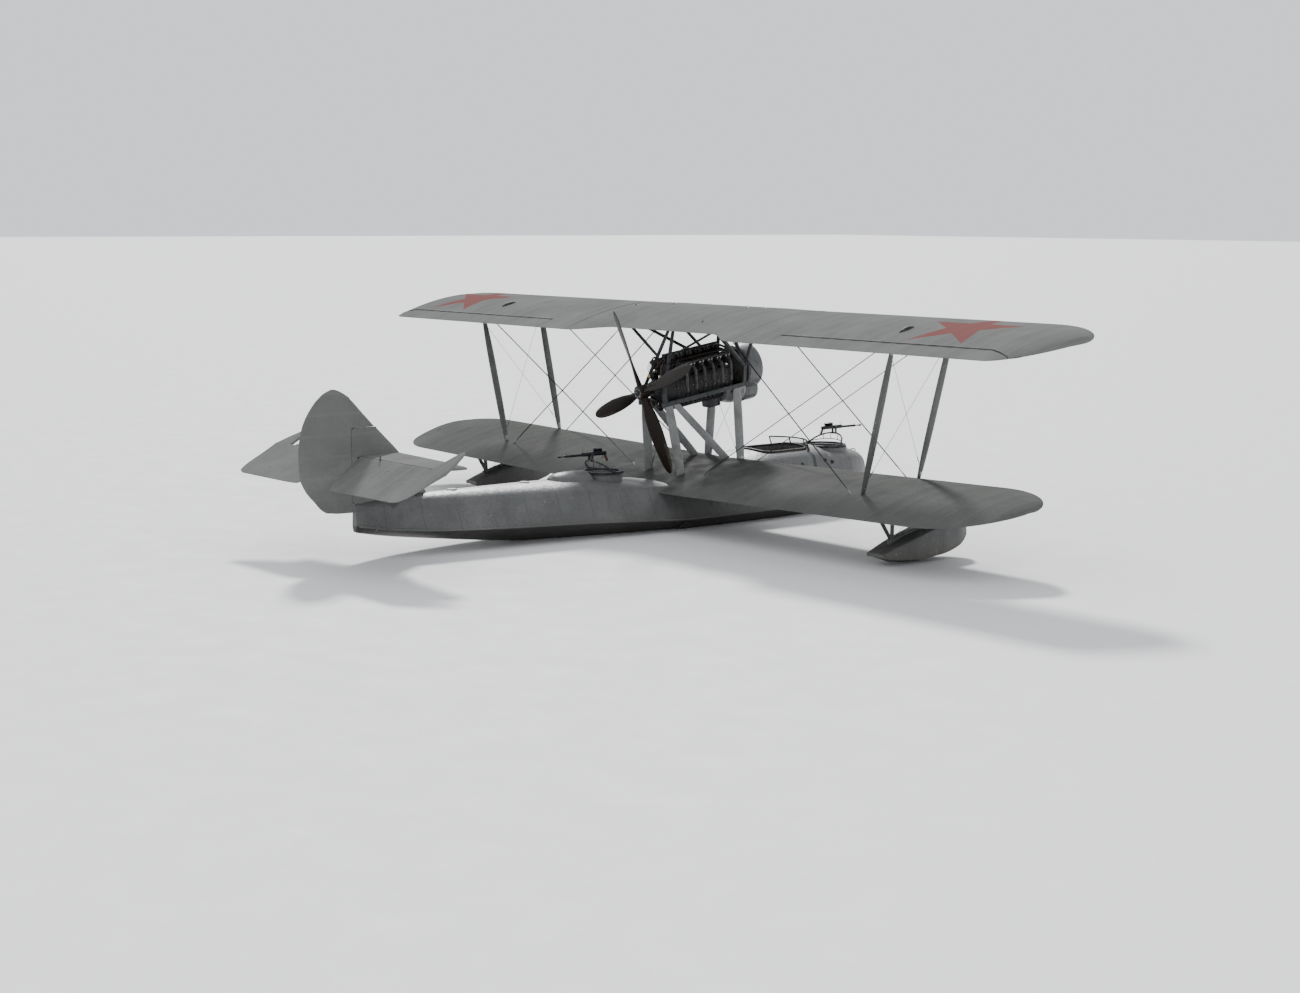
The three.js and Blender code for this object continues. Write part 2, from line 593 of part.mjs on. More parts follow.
// One propeller blade, root to tip. Columns: radius, chord, thickness, pitch in degrees.
const BLADE_SECTIONS = [
  [60, 150, 96, 62],
  [220, 150, 84, 52],
  [480, 225, 56, 38],
  [820, 262, 38, 27],
  [1150, 232, 24, 21],
  [1370, 170, 16, 19],
  [1470, 92, 10, 18],
  [PROPELLER_RADIUS, 24, 7, 18]
]
function blade () {
  return loft(BLADE_SECTIONS.map(([radius, chord, thickness, pitch]) => {
    const angle = THREE.MathUtils.degToRad(90 + pitch)
    return Array.from({ length: 8 }, (_, i) => {
      const turn = 2 * Math.PI * i / 8
      const u = Math.cos(turn) * chord / 2
      const v = Math.sin(turn) * thickness / 2
      return [u * Math.sin(angle) - v * Math.cos(angle), u * Math.cos(angle) + v * Math.sin(angle), radius]
    })
  }))
}
const hub = lengthwise(125, -85, 85, 20)
const boltPlates = [lengthwise(100, -93, 97, 20), lengthwise(34, -93, 150, 12)]
const blades = [0, 1, 2, 3].map(i => blade().rotateY(PROPELLER_TURN + i * Math.PI / 2))
addToEngine('propeller', join([hub, ...boltPlates, ...blades]), varnish)

// Engine frames: a beam under each side of the engine on two uprights and a diagonal.
for (const [side, sign] of [['port', 1], ['starboard', -1]]) {
  const beamX = sign * BEAM_X
  const beamEnds = [COWL_BACK + GAP, -170].map(y => [beamX, y])
  const beam = loft(beamEnds.map(([x, y]) => [
    [-30, -40], [30, -40], [30, 40], [-30, 40]
  ].map(([dx, dz]) => onThrust(x + dx, y, -BEAM_DROP + dz))))
  const footX = sign * 450
  const rearTop = onThrust(beamX, -300, -BEAM_DROP)
  const frontTop = onThrust(beamX, -1900, -BEAM_DROP)
  const legs = [
    bar([footX, -1700, 960], frontTop, 200, 58),
    bar([footX, -330, 760], rearTop, 200, 58),
    bar([footX, -1560, 930], onThrust(beamX, -430, -BEAM_DROP), 150, 50)
  ]
  const below = [moved(hullCentre, 0, 0, GAP), moved(hullCentre, sign * GAP, 0, GAP), ...lowerTops]
  add(`engine_frame_${side}`, between(join([beam, ...legs]), below, []), paint)
}

// Cabane struts stand on the engine beams. Each has a post, then arms from the post's head or from a
// share of the first arm's length. Arms: x and y of the top, the share that the arm starts at.
const CABANES = [
  { place: 'front', along: -2085, headX: 382, headZ: 90, arms: [[70, -1640, 0], [1200, -1400, 0], [1020, -520, 0]] },
  { place: 'rear', along: -240, headX: 300, headZ: -60, arms: [[48, -450, 0], [1200, -450, 0.55]] }
]
for (const { place, along, headX, headZ, arms } of CABANES) {
  for (const [side, sign] of [['port', 1], ['starboard', -1]]) {
    const post = loft([[BEAM_X, -BEAM_DROP + 40 + GAP], [headX, headZ]].map(([x, z]) => {
      return [[-26, -40], [26, -40], [26, 40], [-26, 40]].map(([dx, dy]) => onThrust(sign * (x + dx), along + dy, z))
    }))
    const head = new THREE.Vector3(...onThrust(sign * headX, along, headZ - 20))
    const first = new THREE.Vector3(...inWing(UPPER, sign * arms[0][0], arms[0][1]))
    const bars = arms.map(([x, y, share]) => {
      return bar(head.clone().lerp(first, share).toArray(), inWing(UPPER, sign * x, y), 80, 36, 8)
    })
    add(`cabane_strut_${place}_${side}`, between(join([post, ...bars]), [], [centreSection]), darkPaint)
  }
}

// Tail. Columns of the fin: z, y of the leading edge, y of the trailing edge, thickness.
const FIN_BACK_Y = RUDDER_HINGE_Y - RUDDER_NOSE - HINGE_CLEARANCE
const FIN_SECTIONS = [
  [880, 4640, FIN_BACK_Y, 80],
  [1570, 5140, FIN_BACK_Y, 76],
  [FIN_TOP_Z, 5620, FIN_BACK_Y, 62]
]
function tailRing (front, back, thickness, backThickness, place) {
  const chord = back - front
  const nose = [[0, 0.06], [0.04, 0.42], [0.14, 0.78], [0.35, 1]]
  const side = nose.map(([share, width]) => [front + share * chord, width * thickness / 2])
  side.push([back, backThickness / 2])
  return [...side, ...side.map(([along, out]) => [along, -out]).reverse()].map(([along, out]) => place(along, out))
}
const finBody = loft(FIN_SECTIONS.map(([z, front, back, thickness]) => {
  return tailRing(front, back, thickness, 2 * RUDDER_NOSE, (y, x) => [x, y, z])
}))

// The tailplane. Columns: x, y of the leading edge, y of the back edge, thickness, thickness of the back edge.
const TAILPLANE_BACK = ELEVATOR_HINGE_Y - ELEVATOR_NOSE - HINGE_CLEARANCE
const TAILPLANE_SECTIONS = [
  [0, 5120, TAILPLANE_BACK, 86, 2 * ELEVATOR_NOSE],
  [1300, 5225, TAILPLANE_BACK, 80, 2 * ELEVATOR_NOSE],
  [1950, 5310, TAILPLANE_BACK, 70, 2 * ELEVATOR_NOSE],
  [2080, 5335, 5850, 66, 46],
  [2180, 5385, 5450, 36, 24]
]
const tailplaneRows = [...TAILPLANE_SECTIONS.slice(1).reverse().map(([x, ...rest]) => [-x, ...rest]), ...TAILPLANE_SECTIONS]
const tailplane = loft(tailplaneRows.map(([x, front, back, thickness, backThickness]) => {
  return tailRing(front, back, thickness, backThickness, (y, z) => [x, y, ELEVATOR_HINGE_Z + z])
}))
add('tailplane', tailplane, fabric)
const tubeHole = rod([-200, ELEVATOR_HINGE_Y, ELEVATOR_HINGE_Z], [200, ELEVATOR_HINGE_Y, ELEVATOR_HINGE_Z], 27, 12)
const fin = cut(finBody, [
  moved(hullAft, 0, 0, GAP),
  moved(tailplane, 0, 0, GAP),
  moved(tailplane, 0, 0, -GAP),
  moved(tailplane, 0, GAP, 0),
  tubeHole
])
add('fin', fin, fabric)

// The elevators in their hinge's frame, y aft of the hinge. Columns: x, y of the trailing edge.
const ELEVATOR_SECTIONS = [
  [110, 60],
  [290, 470],
  [430, 790],
  [520, 880],
  [900, 895],
  [2200, 890],
  [2350, 850],
  [2440, 720],
  [2490, 480],
  [2500, 300]
]

// The horn that balances an elevator. Columns: x, y of its front.
const HORN_SECTIONS = [
  [2110, -130],
  [2150, -290],
  [2215, -580],
  [2280, -545],
  [2400, -330],
  [2485, -120]
]
for (const [side, sign] of [['port', 1], ['starboard', -1]]) {
  const nose = ELEVATOR_NOSE
  const flap = loft(ELEVATOR_SECTIONS.map(([x, back]) => [
    [0, nose], [back, 6], [back, -6], [0, -nose]
  ].map(([y, z]) => [sign * x, y, z * (x > 2450 ? 0.7 : 1)])))
  const leading = rod([sign * 110, 0, 0], [sign * 2470, 0, 0], nose, 12)
  const horn = loft(HORN_SECTIONS.map(([x, front]) => [
    [front, 0], [front + 70, nose * 0.7], [60, nose * 0.8], [60, -nose * 0.8], [front + 70, -nose * 0.7]
  ].map(([y, z]) => [sign * x, y, z])))
  const pieces = [flap, leading, horn]
  if (side === 'port') pieces.push(rod([-110 + GAP, 0, 0], [140, 0, 0], 18, 12))
  const mesh = new THREE.Mesh(join(pieces), fabric)
  mesh.name = `elevator_${side}`
  mesh.position.set(0, ELEVATOR_HINGE_Y, ELEVATOR_HINGE_Z)
  mesh.rotation.x = -ELEVATOR_DROOP
  boat.add(mesh)
}

// The rudder. Columns: z, y of the trailing edge, y of the front.
const RUDDER_SECTIONS = [
  [745, 6330, RUDDER_HINGE_Y],
  [760, 6520, RUDDER_HINGE_Y],
  [970, 6760, RUDDER_HINGE_Y],
  [1140, 6905, RUDDER_HINGE_Y],
  [1360, 7000, RUDDER_HINGE_Y],
  [1720, 7020, RUDDER_HINGE_Y],
  [2100, 6955, RUDDER_HINGE_Y],
  [2300, 6865, RUDDER_HINGE_Y],
  [2480, 6735, RUDDER_HINGE_Y],
  [2560, 6655, 6150],
  [2640, 6550, 6255],
  [2690, 6430, 6335]
]
const rudderBlade = loft(RUDDER_SECTIONS.map(([z, back, front]) => [
  [front, RUDDER_NOSE], [back, 6], [back, -6], [front, -RUDDER_NOSE]
].map(([y, x]) => [z > 2600 ? x * 0.4 : x, y, z])))
const rudderPost = rod([0, RUDDER_HINGE_Y, 745], [0, RUDDER_HINGE_Y, 2500], RUDDER_NOSE, 12)
const balance = loft([[2078, 5655], [2300, 5870], [2560, 6130], [2680, 6330]].map(([z, front]) => {
  return tailRing(front, 6375, 58, 40, (y, x) => [z > 2600 ? x * 0.4 : x, y, z])
}))
add('rudder', join([rudderBlade, rudderPost, balance]), fabric)

for (const [side, sign] of [['port', 1], ['starboard', -1]]) {
  const foot = [sign * 190, 5420, 800]
  const arms = [[5480, 1590], [5840, 1590]].map(([y, z]) => bar(foot, [sign * 1450, y, z], 80, 32, 8))
  add(`tail_struts_${side}`, between(join(arms), [hullAft], [tailplane]), strutPaint)
}

// Gun rings, each with an arch that carries its gun, in a frame whose y points where the gun does.
function gunRing ({ well, ring: outside, reach }) {
  const inside = well + 12
  const middleRadius = (inside + outside) / 2
  const band = [[inside, 6], [outside, 6], [outside, 40], [inside, 40], [inside, 6]].map(([r, z]) => new THREE.Vector2(r, z))
  const ring = new THREE.LatheGeometry(band, 32).rotateX(Math.PI / 2)
  const arch = new THREE.CatmullRomCurve3(Array.from({ length: 9 }, (_, i) => {
    const t = Math.PI * i / 8
    return new THREE.Vector3(middleRadius * Math.cos(t), reach * Math.sin(t), 25 + 200 * Math.sin(t))
  }))
  const section = new THREE.Shape().absarc(0, 0, 15, 0, 2 * Math.PI)
  const tube = new THREE.ExtrudeGeometry(section, { steps: 16, curveSegments: 4, bevelEnabled: false, extrudePath: arch })
  const cheekTop = GUN_HEIGHT + 22
  const cheeks = [-1, 1].map(way => box(way * 42 - 6, way * 42 + 6, reach - 26, reach + 26, 217, cheekTop))
  const bridge = box(-48, 48, reach - 18, reach + 18, 207, 235)
  return join([ring, tube, ...cheeks, bridge])
}
function gun () {
  const receiver = box(-30, 30, -330, 190, -26, 40)
  const trunnion = rod([-35, 0, 0], [35, 0, 0], 14, 10)
  const barrel = lengthwise(21, 180, 560, 12)
  const muzzle = lengthwise(11, 550, 700, 8)
  const drumMagazine = drum(0, -150, 38, 96, 85, 20)
  const grip = bar([0, -300, -10], [0, -360, -130], 44, 30, 8)
  return join([receiver, trunnion, barrel, muzzle, drumMagazine, grip])
}
const GUN_MOUNTS = [
  { place: 'nose', y: NOSE_RING_Y, z: NOSE_RING_Z, turn: Math.PI, sizes: NOSE_STATION },
  { place: 'dorsal', y: DORSAL_RING_Y, z: DORSAL_RING_Z, turn: 0, sizes: DORSAL_STATION }
]
for (const { place, y, z, turn, sizes } of GUN_MOUNTS) {
  const station = new THREE.Group()
  station.position.set(0, y, z)
  station.rotation.z = turn
  boat.add(station)
  const ring = new THREE.Mesh(gunRing(sizes), darkPaint)
  ring.name = `gun_ring_${place}`
  const piece = new THREE.Mesh(gun(), gunMetal)
  piece.name = `gun_${place}`
  piece.position.set(0, sizes.reach, GUN_HEIGHT)
  station.add(ring, piece)
}

export default boat
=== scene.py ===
"""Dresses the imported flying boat: skins, engine, cockpit, guns, fittings, finishes, floor and camera."""
import math

import bpy
import numpy as np
from bpy.props import FloatProperty, FloatVectorProperty, IntProperty
from mathutils import Matrix, Vector


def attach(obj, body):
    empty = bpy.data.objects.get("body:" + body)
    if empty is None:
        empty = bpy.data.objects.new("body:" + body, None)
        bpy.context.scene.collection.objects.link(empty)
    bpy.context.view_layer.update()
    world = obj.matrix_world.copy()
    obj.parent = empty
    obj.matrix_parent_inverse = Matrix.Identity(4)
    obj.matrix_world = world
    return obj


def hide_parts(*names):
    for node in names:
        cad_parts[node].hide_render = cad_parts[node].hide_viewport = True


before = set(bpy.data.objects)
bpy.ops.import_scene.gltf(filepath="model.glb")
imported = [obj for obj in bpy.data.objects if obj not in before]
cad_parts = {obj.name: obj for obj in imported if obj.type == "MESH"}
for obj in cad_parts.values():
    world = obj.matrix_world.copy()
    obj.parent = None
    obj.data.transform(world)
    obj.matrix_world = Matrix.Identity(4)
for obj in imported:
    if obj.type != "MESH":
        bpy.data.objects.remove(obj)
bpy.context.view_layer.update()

bl_info = {
    "name": "Flying boat dresser",
    "version": (1, 0, 0),
    "blender": (4, 5, 0),
    "location": "3D View > Sidebar > Flying boat",
    "description": "Covers and finishes a pusher biplane flying boat",
    "category": "Object",
}

SIDES = (("port", 1), ("starboard", -1))
ORIGIN, ACROSS, ASTERN, UPRIGHT = (0, 0, 0), (1, 0, 0), (0, 1, 0), (0, 0, 1)

# Sizes that the solids are made to, in metres.
INCIDENCE = math.radians(8.8)
UPPER = {"y": -2.18, "z": 3.7, "chord": 2.42, "half": 8.33, "thick": 0.234, "rise": 0.0}
LOWER = {"y": -1.84, "z": 1.107, "chord": 2.318, "half": 7.8, "thick": 0.232,
         "rise": math.tan(math.radians(1.2))}
CENTRE_HALF = 2.25
STRUT_FOOT_X, STRUT_TOP_X = 4.81, 5.5
AILERON_X, AILERON_HINGE, AILERON_NOSE = 3.1, 2.06, 0.033
AILERON_CORNER, AILERON_END, AILERON_SLANT = 7.62, 8.2, 2.25
HUB = (0.0, 0.22, 2.34)
THRUST_TILT = math.radians(8.6)
BEAM_X, BEAM_DROP, BEAM_FRONT, FRAME_FOOT_X = 0.32, 0.25, -2.1597, 0.45
BANK_ANGLE, CYLINDER_PITCH = math.radians(42), 0.205
CYLINDER_PLACES = [-0.7 - CYLINDER_PITCH * number for number in range(6)]
BOW_END, CENTRE_END, GAP = -3.7, 0.6, 0.0003
NOSE_Y, DORSAL_Y = -4.19, 1.1
NOSE_WELL, DORSAL_WELL = 0.36, 0.295
COCKPIT_Y, SEAT_X, SEAT_Y = -2.85, 0.215, -2.62
FLOAT_X = 5.5
ELEVATOR_Y, ELEVATOR_Z, DROOP = 5.98, 1.6, math.radians(26)
RUDDER_Y, RUDDER_HORN_Z = 6.1, 2.078

# The camera: its place, its right, up and back, and its focal length in pixels of a picture this wide.
CAMERA_AT = (-27.48783, 22.71568, 5.38963)
CAMERA_AXES = ((-0.635982, -0.771686, 0.005291), (0.108347, -0.082502, 0.990684),
               (-0.76406, 0.63063, 0.136079))
FOCAL, PICTURE_WIDTH, SENSOR = 2050.2, 1300, 36.0
SUN_FROM = (24, -17, 22)

# Hull sections: y, keel z, chine half width, chine z, shoulder half width, shoulder z, crown z.
BOW = [
    (-5.24, 0.3, 0.042, 0.44, 0.036, 0.475, 0.505), (-5.17, 0.09, 0.15, 0.435, 0.128, 0.55, 0.64),
    (-5.04, -0.04, 0.28, 0.405, 0.26, 0.725, 0.9), (-4.8, -0.16, 0.46, 0.36, 0.42, 0.82, 1.02),
    (-4.5, -0.24, 0.62, 0.315, 0.53, 0.88, 1.07), (-4.1, -0.305, 0.765, 0.27, 0.61, 0.915, 1.095),
    (-3.7, -0.345, 0.86, 0.24, 0.66, 0.95, 1.115)]
CENTRE = [
    (-3.7, -0.345, 0.86, 0.24, 0.66, 0.96, 1.18), (-3.0, -0.385, 0.94, 0.215, 0.69, 0.98, 1.195),
    (-2.4, -0.4, 0.98, 0.2, 0.7, 0.975, 1.18), (-1.84, -0.4, 1.0, 0.2, 0.705, 0.95, 1.11),
    (-1.1, -0.4, 1.0, 0.2, 0.705, 0.88, 0.985), (-0.4, -0.4, 0.995, 0.2, 0.705, 0.795, 0.85),
    (0.0, -0.4, 0.98, 0.205, 0.7, 0.76, 0.797), (0.6, -0.212, 0.93, 0.232, 0.674, 0.755, 0.82)]
AFT = [
    (0.6, -0.212, 0.93, 0.232, 0.674, 0.755, 0.82), (1.1, -0.175, 0.885, 0.255, 0.645, 0.76, 0.895),
    (1.85, -0.105, 0.8, 0.29, 0.59, 0.76, 0.95), (3.3, 0.045, 0.665, 0.335, 0.465, 0.75, 0.96),
    (4.75, 0.225, 0.45, 0.39, 0.29, 0.755, 0.95), (5.5, 0.33, 0.25, 0.45, 0.16, 0.775, 0.925),
    (6.04, 0.43, 0.06, 0.53, 0.048, 0.8, 0.885)]


# ---- Meshes: every shape is a grid of points worked out as whole arrays ----

def through(table, at):
    """Smooth monotone curve through the rows of a table: cubic pieces whose slopes at a row are the
    harmonic mean of the slopes on both sides, or level where those disagree. First column is the place."""
    rows = np.asarray(table, float)
    x, y = rows[:, 0], rows[:, 1:]
    h = np.diff(x)[:, None]
    d = np.diff(y, axis=0) / h
    m = np.zeros_like(y)
    same = d[1:] * d[:-1] > 0
    m[1:-1] = np.where(same, 2 * d[1:] * d[:-1] / np.where(same, d[1:] + d[:-1], 1), 0)
    m[0], m[-1] = d[0], d[-1]
    at = np.clip(np.atleast_1d(np.asarray(at, float)), x[0], x[-1])
    i = np.clip(np.searchsorted(x, at, side="right") - 1, 0, len(h) - 1)
    t = ((at - x[i]) / h[i, 0])[:, None]
    return ((1 + 2 * t) * (1 - t) ** 2 * y[i] + t * (1 - t) ** 2 * h[i] * m[i]
            + t * t * (3 - 2 * t) * y[i + 1] + t * t * (t - 1) * h[i] * m[i + 1])


def route(points, count=24):
    """A smooth path of count points through a few given ones."""
    points = np.asarray(points, float)
    step = np.linalg.norm(np.diff(points, axis=0), axis=1)
    place = np.concatenate([[0], np.cumsum(step)])
    return through(np.column_stack([place, points]), np.linspace(0, place[-1], count))


def unit(start, end):
    """The direction from one point to another."""
    way = np.subtract(end, start)
    return way / np.linalg.norm(way)


def turns(count):
    """Evenly spaced angles, once round."""
    return np.linspace(0, 2 * np.pi, count, endpoint=False)


def sections(x, y, z):
    """A grid of points: x and z of each section's outline, and the sections' places y."""
    return np.dstack([x, np.broadcast_to(np.asarray(y)[:, None], x.shape), np.broadcast_to(z, x.shape)])


def shell(points, ends="cap"):
    """Quads over a grid (stations, points round a station, xyz), closed round, with capped ends or the
    last station joined to the first. Turned to face outwards by the sign of the volume it encloses."""
    n, m = points.shape[:2]
    i, j = np.indices((n if ends == "loop" else n - 1, m)).reshape(2, -1)
    k, l = (i + 1) % n, (j + 1) % m
    quads = np.stack([i * m + j, i * m + l, k * m + l, k * m + j], 1)
    caps = [np.arange(m)[::-1], np.arange(m) + (n - 1) * m] if ends == "cap" else []
    fans = [quads[:, :3], quads[:, [0, 2, 3]]]
    fans += [np.stack([np.full(m - 2, cap[0]), cap[1:-1], cap[2:]], 1) for cap in caps]
    corners = points.reshape(-1, 3)
    a, b, c = np.moveaxis((corners - corners.mean(0))[np.concatenate(fans)], 1, 0)
    if (a * np.cross(b, c)).sum() < 0:
        quads, caps = quads[:, ::-1], [cap[::-1] for cap in caps]
    return corners, quads.tolist() + [cap.tolist() for cap in caps]


def circle(radius, sides):
    """A circle as (points, 2)."""
    turn = turns(sides)
    return np.column_stack([radius * np.cos(turn), radius * np.sin(turn)])


def rounded(width, height, sides=12, power=0.5):
    """A rectangle with rounded corners: cosine and sine of the turn, each raised to a small power."""
    turn = turns(sides) + np.pi / sides
    wave = np.column_stack([np.cos(turn), np.sin(turn)])
    return np.sign(wave) * np.abs(wave) ** power * [width / 2, height / 2]


def streamline(chord, thick, sides=24):
    """A strut section: a drop whose width is the sine of the turn, narrowed towards its back."""
    turn = turns(sides)
    along = np.cos(turn)
    return np.column_stack([along * chord / 2, np.sin(turn) * thick / 2 * (1 - 0.35 * along) * 0.94])


def sweep(path, profile, guide=UPRIGHT, scale=1.0, ends="cap"):
    """A profile carried along a path. Its first axis is the guide made square to the path, its second is
    square to both. Scale is one number, or one or two a station."""
    path = np.asarray(path, float)
    along = np.roll(path, -1, 0) - np.roll(path, 1, 0) if ends == "loop" else np.gradient(path, axis=0)
    along /= np.linalg.norm(along, axis=1)[:, None]
    first = np.asarray(guide, float) - (along @ np.asarray(guide, float))[:, None] * along
    first /= np.linalg.norm(first, axis=1)[:, None]
    second = np.cross(along, first)
    scale = np.broadcast_to(np.reshape(scale, (-1, 1) if np.ndim(scale) < 2 else np.shape(scale)),
                            (len(path), 2))
    grid = path[:, None] + profile[None, :, :1] * scale[:, None, :1] * first[:, None]
    return shell(grid + profile[None, :, 1:] * scale[:, None, 1:] * second[:, None], ends)


def tube(points, radius, sides=12, count=None, guide=(0.13, 0.21, 1)):
    """A round pipe through a few points, straight between two."""
    path = np.asarray(points, float) if len(points) == 2 else route(points, count or 8 * len(points))
    return sweep(path, circle(radius, sides), guide)


def lathe(profile, centre, axis, sides=32, ends="cap"):
    """A profile of (distance along the axis, distance from it) turned about the axis."""
    axis = np.asarray(axis, float) / np.linalg.norm(axis)
    across = np.cross(axis, (0.31, 0.17, 0.93) if abs(axis[2]) < 0.8 else ASTERN)
    across /= np.linalg.norm(across)
    turn = turns(sides)[:, None]
    round_it = np.cos(turn) * across + np.sin(turn) * np.cross(axis, across)
    profile = np.asarray(profile, float)
    grid = np.asarray(centre, float) + profile[:, None, :1] * axis + profile[:, None, 1:] * round_it
    return shell(grid, ends)


def brick(lo, hi, power=0.22):
    """A block with rounded edges: a rounded rectangle carried up, drawn in at its two ends."""
    lo, hi = np.asarray(lo, float), np.asarray(hi, float)
    mid, size = (lo + hi) / 2, hi - lo
    inset = min(size) * 0.18
    up = np.array([0, inset * 0.3, inset, size[2] - inset, size[2] - inset * 0.3, size[2]])
    draw = np.array([inset, inset * 0.3, 0, 0, inset * 0.3, inset])
    ring = rounded(1, 1, 24, power)
    flat = ring[None] * (size[:2] - 2 * draw[:, None])[:, None]
    grid = np.dstack([flat, np.broadcast_to(up[:, None, None], (6, 24, 1))])
    return shell(grid + [mid[0], mid[1], lo[2]])


def bolt(centre, axis, radius, height):
    """A six-sided head on a washer."""
    centre, axis = np.asarray(centre, float), np.asarray(axis, float) / np.linalg.norm(axis)
    washer = lathe([(0, radius * 1.35), (height * 0.3, radius * 1.3)], centre, axis, 12)
    head = lathe([(height * 0.3, radius), (height * 0.9, radius), (height, radius * 0.8)], centre, axis, 6)
    return [washer, head]


def turned(shells, function):
    """Shells with their corners carried by a function that keeps them the same way round."""
    return [(function(corners), faces) for corners, faces in shells]


def mirrored(shells):
    """Shells on the other side of the boat's middle plane."""
    return [(corners * [-1, 1, 1], [face[::-1] for face in faces]) for corners, faces in shells]


def on_thrust(points):
    """Engine coordinates (across, along the thrust line aft of the hub, up) to the boat's."""
    p = np.asarray(points, float)
    c, s = math.cos(THRUST_TILT), math.sin(THRUST_TILT)
    return np.stack([p[..., 0], HUB[1] + c * p[..., 1] + s * p[..., 2],
                     HUB[2] - s * p[..., 1] + c * p[..., 2]], -1)


def leaned(points, angle):
    """Points turned about the thrust line, from upright towards port."""
    p = np.asarray(points, float)
    c, s = math.cos(angle), math.sin(angle)
    return np.stack([c * p[..., 0] + s * p[..., 2], p[..., 1], c * p[..., 2] - s * p[..., 0]], -1)


def thrust_parts(*parts):
    """(finish, shells) pairs in engine coordinates, brought to the boat's."""
    return [(name, turned(shells, on_thrust)) for name, shells in parts]


def piece(name, body, parts, replaces=(), crease=40):
    """One object from (finish, shells) pairs, riding on a body, smooth but for creases."""
    corners, faces, finishes, start = [], [], [], 0
    for number, (finish, shells) in enumerate(parts):
        for points, quads in shells:
            corners.append(points)
            faces += [[corner + start for corner in face] for face in quads]
            finishes += [number] * len(quads)
            start += len(points)
    mesh = bpy.data.meshes.new(name)
    mesh.from_pydata(np.concatenate(corners).tolist(), [], faces)
    for finish, _ in parts:
        mesh.materials.append(bpy.data.materials[finish])
    mesh.polygons.foreach_set("material_index", finishes)
    mesh.polygons.foreach_set("use_smooth", [True] * len(faces))
    mesh.set_sharp_from_angle(angle=math.radians(crease))
    thing = bpy.data.objects.new(name, mesh)
    bpy.context.scene.collection.objects.link(thing)
    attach(thing, body)
    if replaces:
        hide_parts(*replaces)
    return thing


def carve(thing, cutter, crease=40):
    """Cuts a closed shell out of a piece and keeps the result as its mesh."""
    mesh = bpy.data.meshes.new("cutter")
    mesh.from_pydata(cutter[0].tolist(), [], cutter[1])
    mesh.materials.append(thing.data.materials[0])
    tool = bpy.data.objects.new("cutter", mesh)
    bpy.context.scene.collection.objects.link(tool)
    cut = thing.modifiers.new("cut", "BOOLEAN")
    cut.object, cut.operation, cut.solver = tool, "DIFFERENCE", "EXACT"
    graph = bpy.context.evaluated_depsgraph_get()
    result = bpy.data.meshes.new_from_object(thing.evaluated_get(graph))
    thing.modifiers.clear()
    thing.data = result
    bpy.data.objects.remove(tool)
    result.polygons.foreach_set("use_smooth", [True] * len(result.polygons))
    result.set_sharp_from_angle(angle=math.radians(crease))


# ---- Finishes ----

def put(tree, kind, settings=None, **sockets):
    """Adds a node; a socket given as an output is linked, and any other value is set on it."""
    node = tree.nodes.new(kind)
    for key, value in (settings or {}).items():
        setattr(node, key, value)
    for key, value in sockets.items():
        socket = node.inputs[int(key[1:])] if key[0] == "_" else node.inputs[key.replace("_", " ")]
        if isinstance(value, bpy.types.NodeSocket):
            tree.links.new(value, socket)
        else:
            socket.default_value = value
    return node


def maths(tree, operation, a, b=0.0):
    """The result of a Math node."""
    return put(tree, "ShaderNodeMath", {"operation": operation}, _0=a, _1=b).outputs[0]


def spread(tree, value, low, high, start=0.0, end=1.0):
    """Value from low to high, brought to start to end and held there."""
    return put(tree, "ShaderNodeMapRange", None, Value=value, From_Min=low, From_Max=high,
               To_Min=start, To_Max=end).outputs[0]


def scaled(tree, place, scale):
    """Coordinates multiplied axis by axis."""
    return put(tree, "ShaderNodeMapping", None, Vector=place, Scale=scale).outputs[0]


def texture(tree, place, scale, detail, **more):
    """The values of a Noise Texture."""
    return put(tree, "ShaderNodeTexNoise", None, Vector=place, Scale=scale, Detail=detail, **more).outputs[0]


def noise(tree, place, scale, detail=4.0, stretch=(1, 1, 1)):
    """Noise that may be drawn out along an axis."""
    return texture(tree, scaled(tree, place, stretch), scale, detail)


def axes(tree, place):
    """The three coordinates of a place."""
    return put(tree, "ShaderNodeSeparateXYZ", None, _0=place).outputs


def group(name, inputs, outputs, fill):
    """A shader group: fill gets the tree and its inputs' sockets and returns its outputs' values."""
    tree = bpy.data.node_groups.new(name, "ShaderNodeTree")
    for label, kind, default in inputs:
        socket = tree.interface.new_socket(name=label, in_out="INPUT", socket_type=kind)
        if default is not None:
            socket.default_value = default
    for label, kind in outputs:
        tree.interface.new_socket(name=label, in_out="OUTPUT", socket_type=kind)
    entry, leave = tree.nodes.new("NodeGroupInput"), tree.nodes.new("NodeGroupOutput")
    for socket, value in zip(leave.inputs, fill(tree, entry.outputs)):
        tree.links.new(value, socket)
    return tree


VECTOR, NUMBER = "NodeSocketVector", "NodeSocketFloat"
PLACE, MASK = ("Place", VECTOR, None), [("Mask", NUMBER)]
STAR_NOTCH = 0.382


